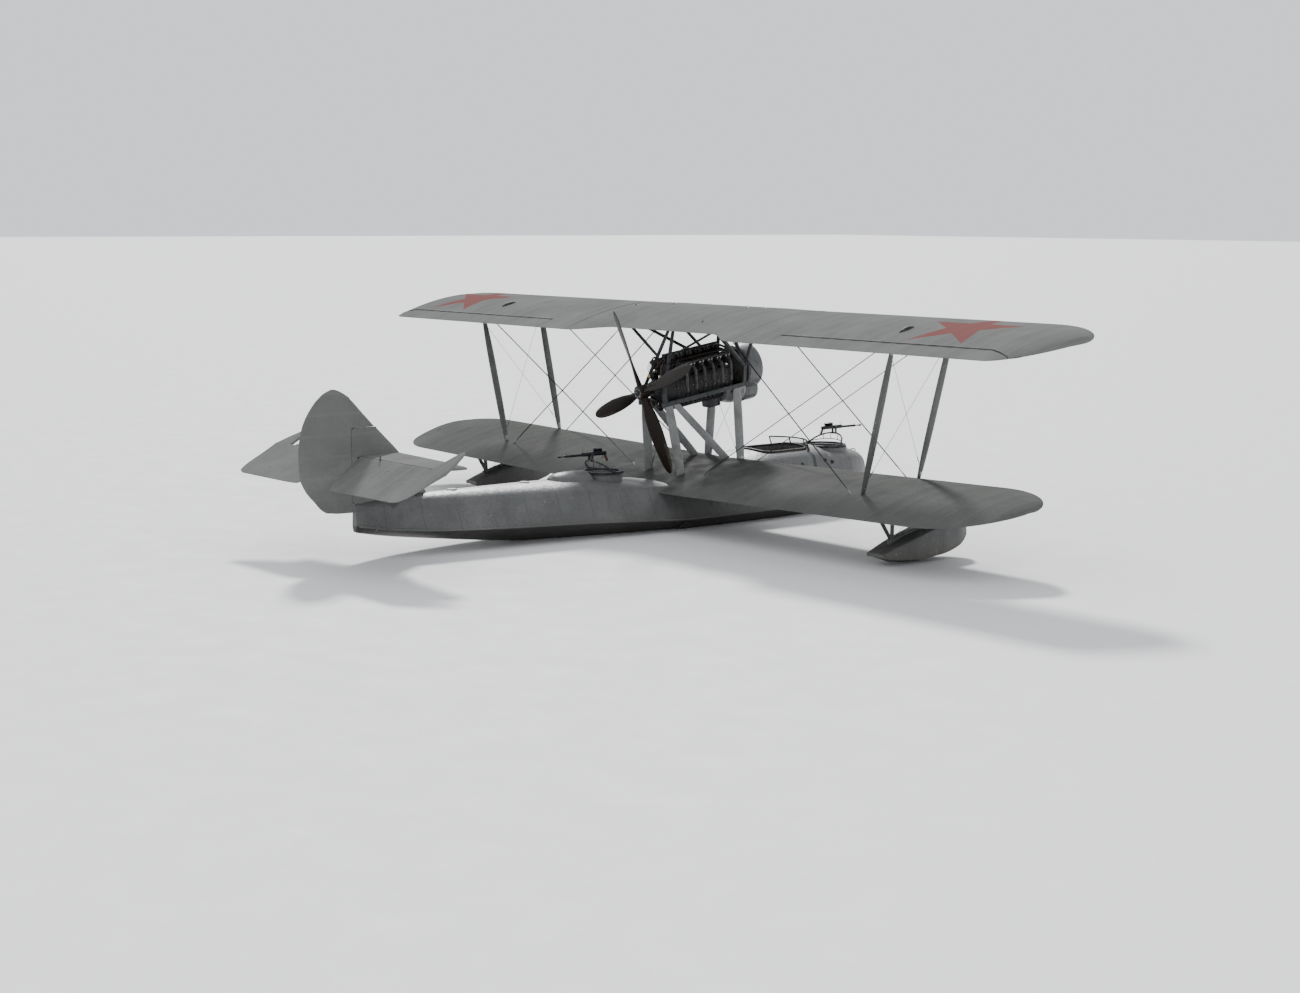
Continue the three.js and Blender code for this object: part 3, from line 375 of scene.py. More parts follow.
def make_groups():
    """The effects that several finishes share."""

    def stains(tree, given):
        broad = noise(tree, given["Place"], given["Scale"], 5.0)
        return [spread(tree, broad, given["Low"], given["High"])]
    group("stains", [PLACE, ("Scale", NUMBER, 2.0), ("Low", NUMBER, 0.45), ("High", NUMBER, 0.7)], MASK,
          stains)

    def runs(tree, given):
        streak = texture(tree, scaled(tree, given["Place"], (6, 6, 0.5)), given["Scale"], 3.0)
        return [spread(tree, streak, given["Low"], given["High"])]
    group("runs", [PLACE, ("Scale", NUMBER, 2.0), ("Low", NUMBER, 0.5), ("High", NUMBER, 0.75)], MASK, runs)

    def lines(tree, given):
        share = maths(tree, "FRACT",
                      maths(tree, "ADD", maths(tree, "DIVIDE", given["Along"], given["Pitch"]), 0.5))
        off = maths(tree, "MULTIPLY", maths(tree, "ABSOLUTE", maths(tree, "SUBTRACT", share, 0.5)),
                    given["Pitch"])
        soft = maths(tree, "MULTIPLY", given["Width"], 0.35)
        half = maths(tree, "MULTIPLY", given["Width"], 0.5)
        return [spread(tree, off, maths(tree, "ADD", half, soft), half)]
    group("lines", [("Along", NUMBER, 0.0), ("Pitch", NUMBER, 0.3), ("Width", NUMBER, 0.02)], MASK, lines)

    def weave(tree, given):
        place = axes(tree, given["Place"])
        size = maths(tree, "DIVIDE", 6.2832, given["Pitch"])
        waves = [maths(tree, "SINE", maths(tree, "MULTIPLY", place[axis], size)) for axis in (0, 1, 2)]
        crossed = maths(tree, "MULTIPLY", waves[0], maths(tree, "ADD", waves[1], waves[2]))
        return [maths(tree, "MULTIPLY_ADD", crossed, 0.5)]
    group("weave", [PLACE, ("Pitch", NUMBER, 0.004)], [("Height", NUMBER)], weave)

    def grain(tree, given):
        coarse = texture(tree, given["Place"], given["Scale"], 6.0, Distortion=0.6)
        fine = texture(tree, given["Place"], maths(tree, "MULTIPLY", given["Scale"], 6.0), 3.0)
        both = maths(tree, "ADD", maths(tree, "MULTIPLY", coarse, 0.7), maths(tree, "MULTIPLY", fine, 0.3))
        return [spread(tree, both, 0.35, 0.65), fine]
    group("grain", [PLACE, ("Scale", NUMBER, 4.0)], [*MASK, ("Height", NUMBER)], grain)

    def star(tree, given):
        place = axes(tree, given["Place"])
        x = maths(tree, "SUBTRACT", maths(tree, "ABSOLUTE", place[0]), given["Across"])
        y = maths(tree, "SUBTRACT", place[1], given["Along"])
        far = maths(tree, "SQRT",
                    maths(tree, "ADD", maths(tree, "MULTIPLY", x, x), maths(tree, "MULTIPLY", y, y)))
        turn = maths(tree, "ARCTAN2", x, maths(tree, "MULTIPLY", y, -1.0))
        half_point = math.pi / 5
        folded = maths(tree, "PINGPONG", turn, half_point)
        edge = np.array([math.cos(half_point), math.sin(half_point)]) * STAR_NOTCH - [1, 0]
        edge = np.array([edge[1], -edge[0]]) / np.linalg.norm(edge)
        across = maths(tree, "MULTIPLY", maths(tree, "MULTIPLY", far, maths(tree, "COSINE", folded)),
                       float(edge[0]))
        along = maths(tree, "MULTIPLY", maths(tree, "MULTIPLY", far, maths(tree, "SINE", folded)),
                      float(edge[1]))
        reach = maths(tree, "ADD", across, along)
        limit = maths(tree, "MULTIPLY", given["Radius"], float(edge[0]))
        inside = spread(tree, maths(tree, "SUBTRACT", reach, limit), 0.004, -0.004)
        top = axes(tree, given["Facing"])[2]
        return [maths(tree, "MULTIPLY", inside, spread(tree, top, 0.2, 0.4))]
    group("star", [PLACE, ("Facing", VECTOR, None), ("Across", NUMBER, 6.29), ("Along", NUMBER, -1.08),
                   ("Radius", NUMBER, 0.95)], MASK, star)

    def chips(tree, given):
        fine = texture(tree, given["Place"], given["Scale"], 6.0)
        broad = texture(tree, given["Place"], 1.7, 2.0)
        both = maths(tree, "MULTIPLY", fine, spread(tree, broad, 0.4, 0.65, 0.75, 1.0))
        return [spread(tree, both, given["Low"], maths(tree, "ADD", given["Low"], 0.03))]
    group("chips", [PLACE, ("Scale", NUMBER, 14.0), ("Low", NUMBER, 0.6)], MASK, chips)

    # Darker towards the boat's middle, in noisy patches: dirt and painted shade cast by the hull and engine.
    def grime(tree, given):
        across = maths(tree, "ABSOLUTE", axes(tree, given["Place"])[0])
        patch = noise(tree, given["Place"], given["Scale"], 6.0)
        return [maths(tree, "MULTIPLY", spread(tree, across, given["Reach"], 0.4),
                      spread(tree, patch, 0.36, 0.6))]
    group("grime", [PLACE, ("Scale", NUMBER, 3.0), ("Reach", NUMBER, 2.2)], MASK, grime)

    def height_band(tree, given):
        up = axes(tree, given["Place"])[2]
        ragged = texture(tree, given["Place"], 3.0, 5.0)
        level = maths(tree, "ADD", up, maths(tree, "MULTIPLY", ragged, given["Ragged"]))
        return [spread(tree, level, given["Top"], given["Bottom"])]
    group("height_band", [PLACE, ("Top", NUMBER, 0.3), ("Bottom", NUMBER, 0.1), ("Ragged", NUMBER, 0.1)],
          MASK, height_band)


def use(name, output="Mask", axis=None, stretch=None, **values):
    """A maker of one shared effect: it reads the piece's own coordinates, drawn out along an axis if a
    stretch is given, or one axis of them."""

    def make(tree, place, facing):
        node = put(tree, "ShaderNodeGroup", {"node_tree": bpy.data.node_groups[name]}, **values)
        if axis is not None:
            tree.links.new(axes(tree, place)[axis], node.inputs["Along"])
        else:
            tree.links.new(scaled(tree, place, stretch) if stretch else place, node.inputs["Place"])
        if "Facing" in node.inputs:
            tree.links.new(facing, node.inputs["Facing"])
        return node.outputs[output]
    return make


def stained(scale, low, high):
    """A maker of broad soft patches."""
    return use("stains", Scale=scale, Low=low, High=high)


def streaked(scale, low, high):
    """A maker of streaks that run down."""
    return use("runs", Scale=scale, Low=low, High=high)


def chipped(scale, low):
    """A maker of small spots with a hard edge, where the finish is gone."""
    return use("chips", Scale=scale, Low=low)


def speckle(scale, low, high, stretch=(1, 1, 1)):
    """A maker of plain noise, from low to high."""
    return lambda tree, place, facing: spread(tree, noise(tree, place, scale, 5.0, stretch), low, high)


def grit(scale, depth, stretch=(1, 1, 1)):
    """Relief of plain noise, with its depth in metres."""
    return speckle(scale, 0.3, 0.7, stretch), depth


def finish(name, colour, roughness, metallic=0.0, marks=(), relief=(), wear=0.12, **plain):
    """A material. Marks are (maker, colour, roughness, strength), laid one over another; relief is
    (maker, depth in metres). A broad and a fine mottling of the colour are under them."""
    assert name not in bpy.data.materials, name
    material = bpy.data.materials.new(name)
    material.use_nodes = True
    tree = material.node_tree
    tree.nodes.clear()
    where = tree.nodes.new("ShaderNodeTexCoord")
    place, facing = where.outputs["Object"], where.outputs["Normal"]
    plain.setdefault("Specular_IOR_Level", 0.5 if metallic > 0.3 or "IOR" in plain else 0.28)
    shader = put(tree, "ShaderNodeBsdfPrincipled", None, Metallic=metallic, **plain)
    tree.links.new(shader.outputs[0], tree.nodes.new("ShaderNodeOutputMaterial").inputs[0])
    colour = (*colour, 1.0)
    dark = tuple(c * (1 - 2.2 * wear) for c in colour[:3]) + (1.0,)
    light = tuple(min(1.0, c * (1 + wear)) for c in colour[:3]) + (1.0,)
    mottle = noise(tree, place, 1.6, 6.0)
    fine = noise(tree, place, 23.0, 5.0)
    both = maths(tree, "ADD", maths(tree, "MULTIPLY", mottle, 0.65), maths(tree, "MULTIPLY", fine, 0.35))
    shade = put(tree, "ShaderNodeMix", {"data_type": "RGBA"}, _0=spread(tree, both, 0.36, 0.64), _6=dark,
                _7=light).outputs[2]
    rough = spread(tree, both, 0.3, 0.7, min(1.0, roughness * 1.18), roughness * 0.86)
    for maker, tint, tint_rough, strength in marks:
        mask = maths(tree, "MULTIPLY", maker(tree, place, facing), strength)
        shade = put(tree, "ShaderNodeMix", {"data_type": "RGBA"}, _0=mask, _6=shade,
                    _7=(*tint, 1.0)).outputs[2]
        rough = put(tree, "ShaderNodeMix", {"data_type": "FLOAT"}, _0=mask, _2=rough,
                    _3=tint_rough).outputs[0]
    tree.links.new(shade, shader.inputs["Base Color"])
    tree.links.new(rough, shader.inputs["Roughness"])
    normal = None
    for maker, depth in relief:
        bump = put(tree, "ShaderNodeBump", None, Strength=1.0, Distance=depth,
                   Height=maker(tree, place, facing))
        if normal is not None:
            tree.links.new(normal, bump.inputs["Normal"])
        normal = bump.outputs[0]
    if normal is not None:
        tree.links.new(normal, shader.inputs["Normal"])
    return material


# ---- What a user would change ----

def length(name, description, default):
    """A length that the user can change."""
    return FloatProperty(name=name, description=description, default=default, min=0.0, unit="LENGTH")


def tint(name, description, default):
    """A colour that the user can change."""
    return FloatVectorProperty(name=name, description=description, default=default, min=0.0, max=1.0, size=3,
                               subtype="COLOR")


class FlyingBoatSizes(bpy.types.PropertyGroup):
    """Sizes of what is added to the solids."""
    rib_pitch: length("Rib pitch", "Distance between the ribs of the wings", 0.33)
    rib_sag: length("Fabric sag", "How far the fabric sinks between two ribs", 0.0045)
    tape: length("Tape width", "Width of the tape over a rib", 0.034)
    frame_pitch: length("Frame pitch", "Distance between the hull's frames", 0.62)
    strake: length("Strake", "Width of the strip along the chine", 0.036)
    wire: length("Wire", "Radius of the lesser bracing wires", 0.0035)
    star: length("Star", "Radius of the star on each upper wing", 0.95)
    coaming: length("Coaming roll", "Radius of the padded edge of the cockpit", 0.026)
    cushion_puff: FloatProperty(name="Cushion pressure", description="Pressure that swells a seat cushion",
                                default=4.0, min=0.0)
    blade_sides: IntProperty(name="Blade stations", description="Stations along a propeller blade",
                             default=40, min=8)


class FlyingBoatColours(bpy.types.PropertyGroup):
    """Colours of the finishes."""
    topsides: tint("Topsides", "Paint of the hull and floats", (0.115, 0.118, 0.115))
    bottom: tint("Bottom", "Varnish of the hull's bottom", (0.035, 0.033, 0.032))
    fabric: tint("Fabric", "Doped linen of wings and tail", (0.165, 0.168, 0.16))
    struts: tint("Struts", "Paint of the wing and float struts", (0.115, 0.118, 0.115))
    frames: tint("Engine frames", "Paint of the struts under the engine", (0.26, 0.266, 0.262))
    cabane: tint("Cabane", "Paint of the struts over the engine", (0.045, 0.05, 0.052))
    engine: tint("Engine", "Castings and cylinders", (0.025, 0.025, 0.026))
    wood: tint("Propeller", "Varnished wood of the propeller", (0.015, 0.0095, 0.0065))
    star: tint("Star", "Star on each upper wing", (0.18, 0.08, 0.074))
    cowl: tint("Cowling", "Paint of the duct round the radiator", (0.12, 0.124, 0.124))
    leather: tint("Leather", "Cushions and coaming rolls", (0.022, 0.013, 0.009))


class FlyingBoatStage(bpy.types.PropertyGroup):
    """Floor, light and background."""
    floor: length("Floor", "Half width of the floor", 400.0)
    sky: FloatProperty(name="Sky", description="Strength of the even light all round", default=1.15, min=0.0)
    key: FloatProperty(name="Key light", description="Strength of the soft main light", default=4.6, min=0.0)
    softness: FloatProperty(name="Softness", description="Width of the main light as an angle", default=0.12,
                            min=0.0, subtype="ANGLE", unit="ROTATION")


def settings():
    """The three groups of what a user would change."""
    scene = bpy.context.scene
    return scene.flying_boat_sizes, scene.flying_boat_colours, scene.flying_boat_stage


class FlyingBoatStep(bpy.types.Operator):
    """One step of the dressing; its work is in make."""
    bl_idname = "flying_boat.step"
    bl_label = "Step"

    def execute(self, context):
        self.make(*settings())
        return {"FINISHED"}


class Finishes(FlyingBoatStep):
    """Makes the shared effects and every finish"""
    bl_idname = "flying_boat.finishes"
    bl_label = "Finishes"

    def make(self, sizes, colours, stage):
        make_groups()
        c = {key: tuple(getattr(colours, key)) for key in FlyingBoatColours.__annotations__}
        dim = lambda colour, share: tuple(v * share for v in colour)
        oil, rust, bare = (0.018, 0.015, 0.012), (0.12, 0.05, 0.025), (0.30, 0.24, 0.16)
        seams = use("lines", axis=1, Pitch=sizes.frame_pitch, Width=0.006)
        finish("topsides", c["topsides"], 0.42, marks=[
            (streaked(1.6, 0.5, 0.78), dim(c["topsides"], 0.62), 0.55, 0.45),
            (stained(1.1, 0.5, 0.75), dim(c["topsides"], 0.75), 0.5, 0.4),
            (use("height_band", Top=0.52, Bottom=0.22, Ragged=0.16), (0.10, 0.095, 0.08), 0.6, 0.55),
            (seams, dim(c["topsides"], 0.45), 0.6, 0.7),
            (chipped(16.0, 0.63), bare, 0.6, 0.5)],
            relief=[(seams, -0.0015), grit(9.0, 0.004), grit(160.0, 0.0004)])
        finish("bottom", c["bottom"], 0.38, marks=[
            (use("height_band", Top=0.3, Bottom=-0.05, Ragged=0.2), (0.05, 0.055, 0.045), 0.7, 0.7),
            (streaked(2.0, 0.5, 0.8), (0.09, 0.085, 0.075), 0.6, 0.6),
            (chipped(12.0, 0.62), (0.2, 0.15, 0.1), 0.7, 0.6)],
            relief=[(use("lines", axis=0, Pitch=0.12, Width=0.005), -0.0015), grit(30.0, 0.001, (1, 0.1, 1))])
        for name, axis, across in (("fabric", 0, 0), ("fabric_star_port", 0, 6.8),
                                   ("fabric_star_starboard", 0, 6.29), ("fabric_upright", 2, 0),
                                   ("fabric_trodden", 0, 0)):
            tapes = use("lines", axis=axis, Pitch=sizes.rib_pitch, Width=sizes.tape)
            edges = use("lines", axis=axis, Pitch=sizes.rib_pitch, Width=sizes.tape * 0.12)
            # The lower wing's fabric is the same fabric made darker: painted shade under the upper wing.
            base = dim(c["fabric"], 0.75) if name == "fabric_trodden" else c["fabric"]
            marks = [
                (stained(0.55, 0.42, 0.72), dim(base, 0.8), 0.75, 0.5),
                (speckle(2.2, 0.5, 0.75, (1, 0.25, 1)), dim(base, 0.68), 0.8, 0.35),
                (tapes, tuple(min(1, v * 1.08) for v in base), 0.6, 0.45),
                (edges, dim(base, 0.68), 0.7, 0.4),
                (chipped(7.0, 0.655), dim(base, 0.5), 0.8, 0.5)]
            # Near the hull the lower wing darkens in patches: dirt and painted shade from the hull and
            # engine.
            if name == "fabric_trodden":
                marks.append((use("grime", Scale=2.6, Reach=2.3), dim(base, 0.3), 0.8, 0.65))
            if across:
                marks.append((use("star", Radius=sizes.star, Across=across), c["star"], 0.9, 0.97))
            finish(name, base, 0.85, marks=marks, wear=0.07, Specular_IOR_Level=0.0, relief=[
                (tapes, 0.0004), (use("weave", "Height", Pitch=0.005), 0.0002), grit(4.0, 0.0015)])
        for name, tone in (("strut_enamel", "struts"), ("frame_paint", "frames"), ("cabane_paint", "cabane")):
            finish(name, c[tone], 0.45, marks=[
                (streaked(3.0, 0.48, 0.75), dim(c[tone], 0.6), 0.6, 0.5),
                (stained(3.0, 0.52, 0.7), oil if name != "strut_enamel" else dim(c[tone], 0.5), 0.4, 0.35),
                (chipped(26.0, 0.62), bare, 0.6, 0.6)],
                relief=[grit(70.0, 0.0007, (1, 1, 0.2)), grit(260.0, 0.0003)])
        finish("steel", (0.30, 0.31, 0.32), 0.34, 0.9, marks=[
            (stained(9.0, 0.5, 0.7), (0.12, 0.11, 0.10), 0.5, 0.6),
            (chipped(40.0, 0.62), rust, 0.8, 0.6)], relief=[grit(220.0, 0.0003)])
        finish("wire_steel", (0.055, 0.056, 0.058), 0.45, 0.7, marks=[
            (stained(9.0, 0.5, 0.7), (0.03, 0.028, 0.025), 0.6, 0.6)], relief=[grit(220.0, 0.0002)])
        finish("dark_fitting", (0.03, 0.031, 0.033), 0.6, 0.25, marks=[
            (stained(7.0, 0.5, 0.72), (0.08, 0.078, 0.07), 0.6, 0.5),
            (chipped(34.0, 0.6), (0.25, 0.25, 0.25), 0.35, 0.7)], relief=[grit(180.0, 0.0004)])
        finish("engine_casting", c["engine"], 0.52, 0.55, marks=[
            (stained(4.5, 0.46, 0.7), oil, 0.22, 0.75),
            (chipped(24.0, 0.6), (0.20, 0.20, 0.20), 0.5, 0.5)],
            relief=[grit(120.0, 0.0009), grit(20.0, 0.002)])
        finish("cylinder_jacket", (0.028, 0.029, 0.031), 0.4, 0.6, marks=[
            (stained(6.0, 0.48, 0.7), (0.06, 0.04, 0.03), 0.6, 0.6),
            (streaked(7.0, 0.5, 0.7), oil, 0.2, 0.7)], relief=[grit(90.0, 0.0007)])
        finish("bright_metal", (0.50, 0.50, 0.48), 0.36, 0.9, marks=[
            (stained(8.0, 0.45, 0.7), (0.2, 0.18, 0.15), 0.5, 0.6)],
            relief=[grit(150.0, 0.0005)])
        finish("copper", (0.055, 0.042, 0.036), 0.45, 0.8, marks=[
            (stained(10.0, 0.4, 0.62), (0.04, 0.03, 0.025), 0.55, 0.85)],
            relief=[grit(140.0, 0.0004)])
        finish("exhaust_steel", (0.085, 0.081, 0.079), 0.62, 0.4, marks=[
            (stained(11.0, 0.45, 0.68), (0.04, 0.03, 0.025), 0.85, 0.7),
            (speckle(30.0, 0.5, 0.7), (0.15, 0.142, 0.13), 0.6, 0.5)], relief=[grit(110.0, 0.0011)])
        # Black discs over the exhaust pipes' open ends: soot, and painted shade of the bores.
        finish("soot", (0.008, 0.008, 0.008), 0.9, relief=[grit(80.0, 0.001)])
        # Lighter lines on a square grid over a near-black base: the dark between the lines is painted shade
        # in the matrix's open cells.
        finish("radiator_matrix", (0.035, 0.037, 0.037), 0.5, 0.6, marks=[
            (use("lines", axis=0, Pitch=0.011, Width=0.004), (0.16, 0.15, 0.13), 0.4, 0.8),
            (use("lines", axis=2, Pitch=0.011, Width=0.004), (0.16, 0.15, 0.13), 0.4, 0.8)],
            relief=[(use("lines", axis=0, Pitch=0.011, Width=0.004), 0.002),
                    (use("lines", axis=2, Pitch=0.011, Width=0.004), 0.002)])
        for name, tone in (("cowling", c["cowl"]), ("panel_paint", dim(c["cowl"], 2.2))):
            finish(name, tone, 0.36, 0.25, marks=[
                (streaked(3.2, 0.48, 0.75), oil, 0.25, 0.4),
                (stained(2.4, 0.48, 0.75), dim(tone, 0.6), 0.5, 0.6),
                (chipped(22.0, 0.62), (0.45, 0.45, 0.44), 0.35, 0.7)],
                relief=[grit(6.0, 0.006), grit(180.0, 0.0003)])
        finish("gun_steel", (0.022, 0.023, 0.027), 0.33, 0.85, marks=[
            (stained(14.0, 0.48, 0.7), (0.06, 0.058, 0.055), 0.5, 0.6),
            (chipped(55.0, 0.6), (0.32, 0.31, 0.30), 0.3, 0.8)], relief=[grit(240.0, 0.0003)])
        lamination = use("lines", axis=1, Pitch=0.021, Width=0.004)
        finish("propeller_wood", c["wood"], 0.42, Coat_Weight=0.05, Coat_Roughness=0.3,
               Specular_IOR_Level=0.15, marks=[
            (use("grain", Scale=5.0, stretch=(3, 9, 3)), dim(c["wood"], 0.45), 0.3, 0.75),
            (lamination, dim(c["wood"], 0.35), 0.3, 0.5),
            (chipped(20.0, 0.63), (0.06, 0.04, 0.025), 0.6, 0.5)],
            relief=[(use("grain", "Height", Scale=8.0, stretch=(3, 9, 3)), 0.0006)])
        finish("tip_sheath", (0.05, 0.043, 0.034), 0.45, 0.7, marks=[
            (stained(12.0, 0.42, 0.64), (0.03, 0.026, 0.022), 0.6, 0.8)], relief=[grit(120.0, 0.0004)])
        finish("mahogany", (0.085, 0.04, 0.02), 0.32, Coat_Weight=0.2, Coat_Roughness=0.2, marks=[
            (use("grain", Scale=7.0, stretch=(1, 8, 8)), (0.032, 0.014, 0.008), 0.4, 0.8),
            (chipped(24.0, 0.62), (0.28, 0.18, 0.1), 0.7, 0.5)],
            relief=[(use("grain", "Height", Scale=12.0, stretch=(1, 8, 8)), 0.0006)])
        finish("bare_boards", (0.26, 0.18, 0.11), 0.7, marks=[
            (use("grain", Scale=7.0, stretch=(8, 1, 8)), (0.12, 0.075, 0.04), 0.75, 0.8),
            (stained(4.0, 0.45, 0.7), (0.06, 0.05, 0.04), 0.8, 0.6)],
            relief=[(use("grain", "Height", Scale=12.0, stretch=(8, 1, 8)), 0.0009)])
        finish("hide", c["leather"], 0.48, marks=[
            (stained(9.0, 0.45, 0.7), dim(c["leather"], 0.45), 0.6, 0.6),
            (speckle(26.0, 0.55, 0.75), tuple(min(1, v * 2.1) for v in c["leather"]), 0.5, 0.6)],
            relief=[(speckle(330.0, 0.35, 0.65), 0.0009), grit(40.0, 0.002)])
        finish("stitching", (0.32, 0.26, 0.17), 0.8, relief=[grit(900.0, 0.0004)])
        finish("rubber", (0.02, 0.02, 0.02), 0.7,
               marks=[(speckle(30.0, 0.5, 0.7), (0.06, 0.058, 0.055), 0.8, 0.6)],
               relief=[grit(200.0, 0.0005)])
        finish("dial_face", (0.012, 0.012, 0.012), 0.35,
               marks=[(speckle(60.0, 0.5, 0.7), (0.03, 0.03, 0.03), 0.5, 0.5)])
        finish("dial_mark", (0.7, 0.68, 0.6), 0.5,
               marks=[(speckle(90.0, 0.5, 0.7), (0.5, 0.48, 0.4), 0.6, 0.5)])
        finish("brass", (0.26, 0.19, 0.09), 0.38, 0.85, marks=[
            (stained(12.0, 0.42, 0.64), (0.08, 0.06, 0.035), 0.5, 0.8)],
            relief=[grit(120.0, 0.0004)])
        pane = finish("pane", (0.93, 0.96, 0.95), 0.06, Transmission_Weight=0.95, IOR=1.45, wear=0.02,
                      marks=[(speckle(12.0, 0.52, 0.8), (0.7, 0.7, 0.66), 0.3, 0.35)])
        pane.use_screen_refraction = True


class Stage(FlyingBoatStep):
    """Lays the floor at the waterline and sets the light and the camera"""
    bl_idname = "flying_boat.stage"
    bl_label = "Floor, light and camera"

    def make(self, sizes, colours, stage):
        finish("floor", (0.78, 0.78, 0.77), 0.8, wear=0.004)
        mesh = bpy.data.meshes.new("floor")
        count = 5
        place = np.linspace(-stage.floor, stage.floor, count)
        x, y = np.meshgrid(place, place, indexing="ij")
        corners = np.column_stack([x.ravel(), y.ravel(), np.zeros(x.size)])
        i, j = np.indices((count - 1, count - 1)).reshape(2, -1)
        first = i * count + j
        mesh.from_pydata(corners.tolist(), [],
                         np.stack([first, first + count, first + count + 1, first + 1], 1).tolist())
        mesh.materials.append(bpy.data.materials["floor"])
        floor = bpy.data.objects.new("floor", mesh)
        bpy.context.scene.collection.objects.link(floor)
        world = bpy.data.worlds.new("even_sky")
        world.use_nodes = True
        sky = world.node_tree.nodes["Background"]
        sky.inputs[0].default_value = (0.93, 0.95, 1.0, 1.0)
        sky.inputs[1].default_value = stage.sky
        bpy.context.scene.world = world
        lamp = bpy.data.lights.new("key", "SUN")
        lamp.energy, lamp.angle = stage.key, stage.softness
        holder = bpy.data.objects.new("key", lamp)
        holder.matrix_world = Vector(SUN_FROM).to_track_quat("Z", "Y").to_matrix().to_4x4()
        bpy.context.scene.collection.objects.link(holder)
        lens = bpy.data.cameras.new("camera")
        lens.sensor_width, lens.lens = SENSOR, FOCAL / PICTURE_WIDTH * SENSOR
        lens.clip_end = 2000.0
        camera = bpy.data.objects.new("camera", lens)
        turn = Matrix(CAMERA_AXES).transposed()
        camera.matrix_world = Matrix.Translation(CAMERA_AT) @ turn.to_4x4()
        bpy.context.scene.collection.objects.link(camera)
        bpy.context.scene.camera = camera


# ---- Hull ----

def hull_grid(table, places):
    """Topsides between y places: straight sides from chine to shoulder, and a deck that is half an
    ellipse, each section's sizes read from smooth curves through the table."""
    chine_x, chine_z, shoulder_x, shoulder_z, crown_z = through(table, places)[:, 1:].T[:, :, None]
    up = np.linspace(0, 1, 9)[None, :-1]
    side_x, side_z = chine_x + (shoulder_x - chine_x) * up, chine_z + (shoulder_z - chine_z) * up
    turn = np.linspace(0, np.pi, 49)[None]
    deck_x, deck_z = shoulder_x * np.cos(turn), shoulder_z + (crown_z - shoulder_z) * np.sin(turn)
    x = np.hstack([side_x, deck_x, -side_x[:, ::-1]])
    return sections(x, places, np.hstack([side_z, deck_z, side_z[:, ::-1]]))


def bottom_grid(table, places):
    """Planing bottom: from the keel's flat a hollow curve out to the chine, the same on both sides."""
    keel_z, chine_x, chine_z = through(table, places)[:, :3].T[:, :, None]
    keel_x = np.minimum(0.04, chine_x / 2)
    t = np.linspace(0, 1, 15)[None]
    x = keel_x + (chine_x - keel_x) * t
    z = keel_z + (chine_z - GAP - keel_z) * (0.72 * t + 0.28 * t ** 2.4)
    return sections(np.hstack([x[:, ::-1], -x]), places, np.hstack([z[:, ::-1], z]))


def drum(y, low, radius):
    """An upright cylinder that cuts a round well down to a height."""
    return lathe([(low, radius), (1.3, radius)], (0, y, 0), UPRIGHT, 64)


def coaming(y, low, high, inside, outside):
    """A round coaming: the profile of a wall with a rounded lip, turned about the upright."""
    lip = np.linspace(0, np.pi, 9)
    mid, half = (inside + outside) / 2, (outside - inside) / 2
    edge = [(high - half * 0.3 + half * 0.3 * math.sin(a), mid + half * math.cos(a)) for a in lip]
    return lathe([(low, outside), *edge, (low, inside)], (0, y, 0), UPRIGHT, 72, "loop")


def hull_section(y):
    """Keel z, chine half width and z, shoulder half width and z, and crown z, read from the hull's tables."""
    return through(BOW if y < BOW_END else CENTRE if y < CENTRE_END else AFT, [y])[0]


def deck_height(y, x):
    """The centre deck's height at a point, from the half ellipse between its shoulders."""
    _, _, _, shoulder_x, shoulder_z, crown_z = through(CENTRE, y).T
    return shoulder_z + (crown_z - shoulder_z) * np.sqrt(np.clip(1 - (x / shoulder_x) ** 2, 0, 1))


def side_point(y, share, out=0.0):
    """A point on the port topside, a share of the way from chine to shoulder, moved out by a little."""
    _, cx, cz, sx, sz, _ = hull_section(y)
    way = np.array([sz - cz, 0, cx - sx])
    return np.array([cx + (sx - cx) * share, y, cz + (sz - cz) * share]) + out * way / np.linalg.norm(way)


def on_side(profile, y, share, start=0.0, sides=8):
    """A small round part that stands on the port topside."""
    at, above = side_point(y, share, start), side_point(y, share, start + 0.02)
    return lathe(profile, at, above - at, sides)


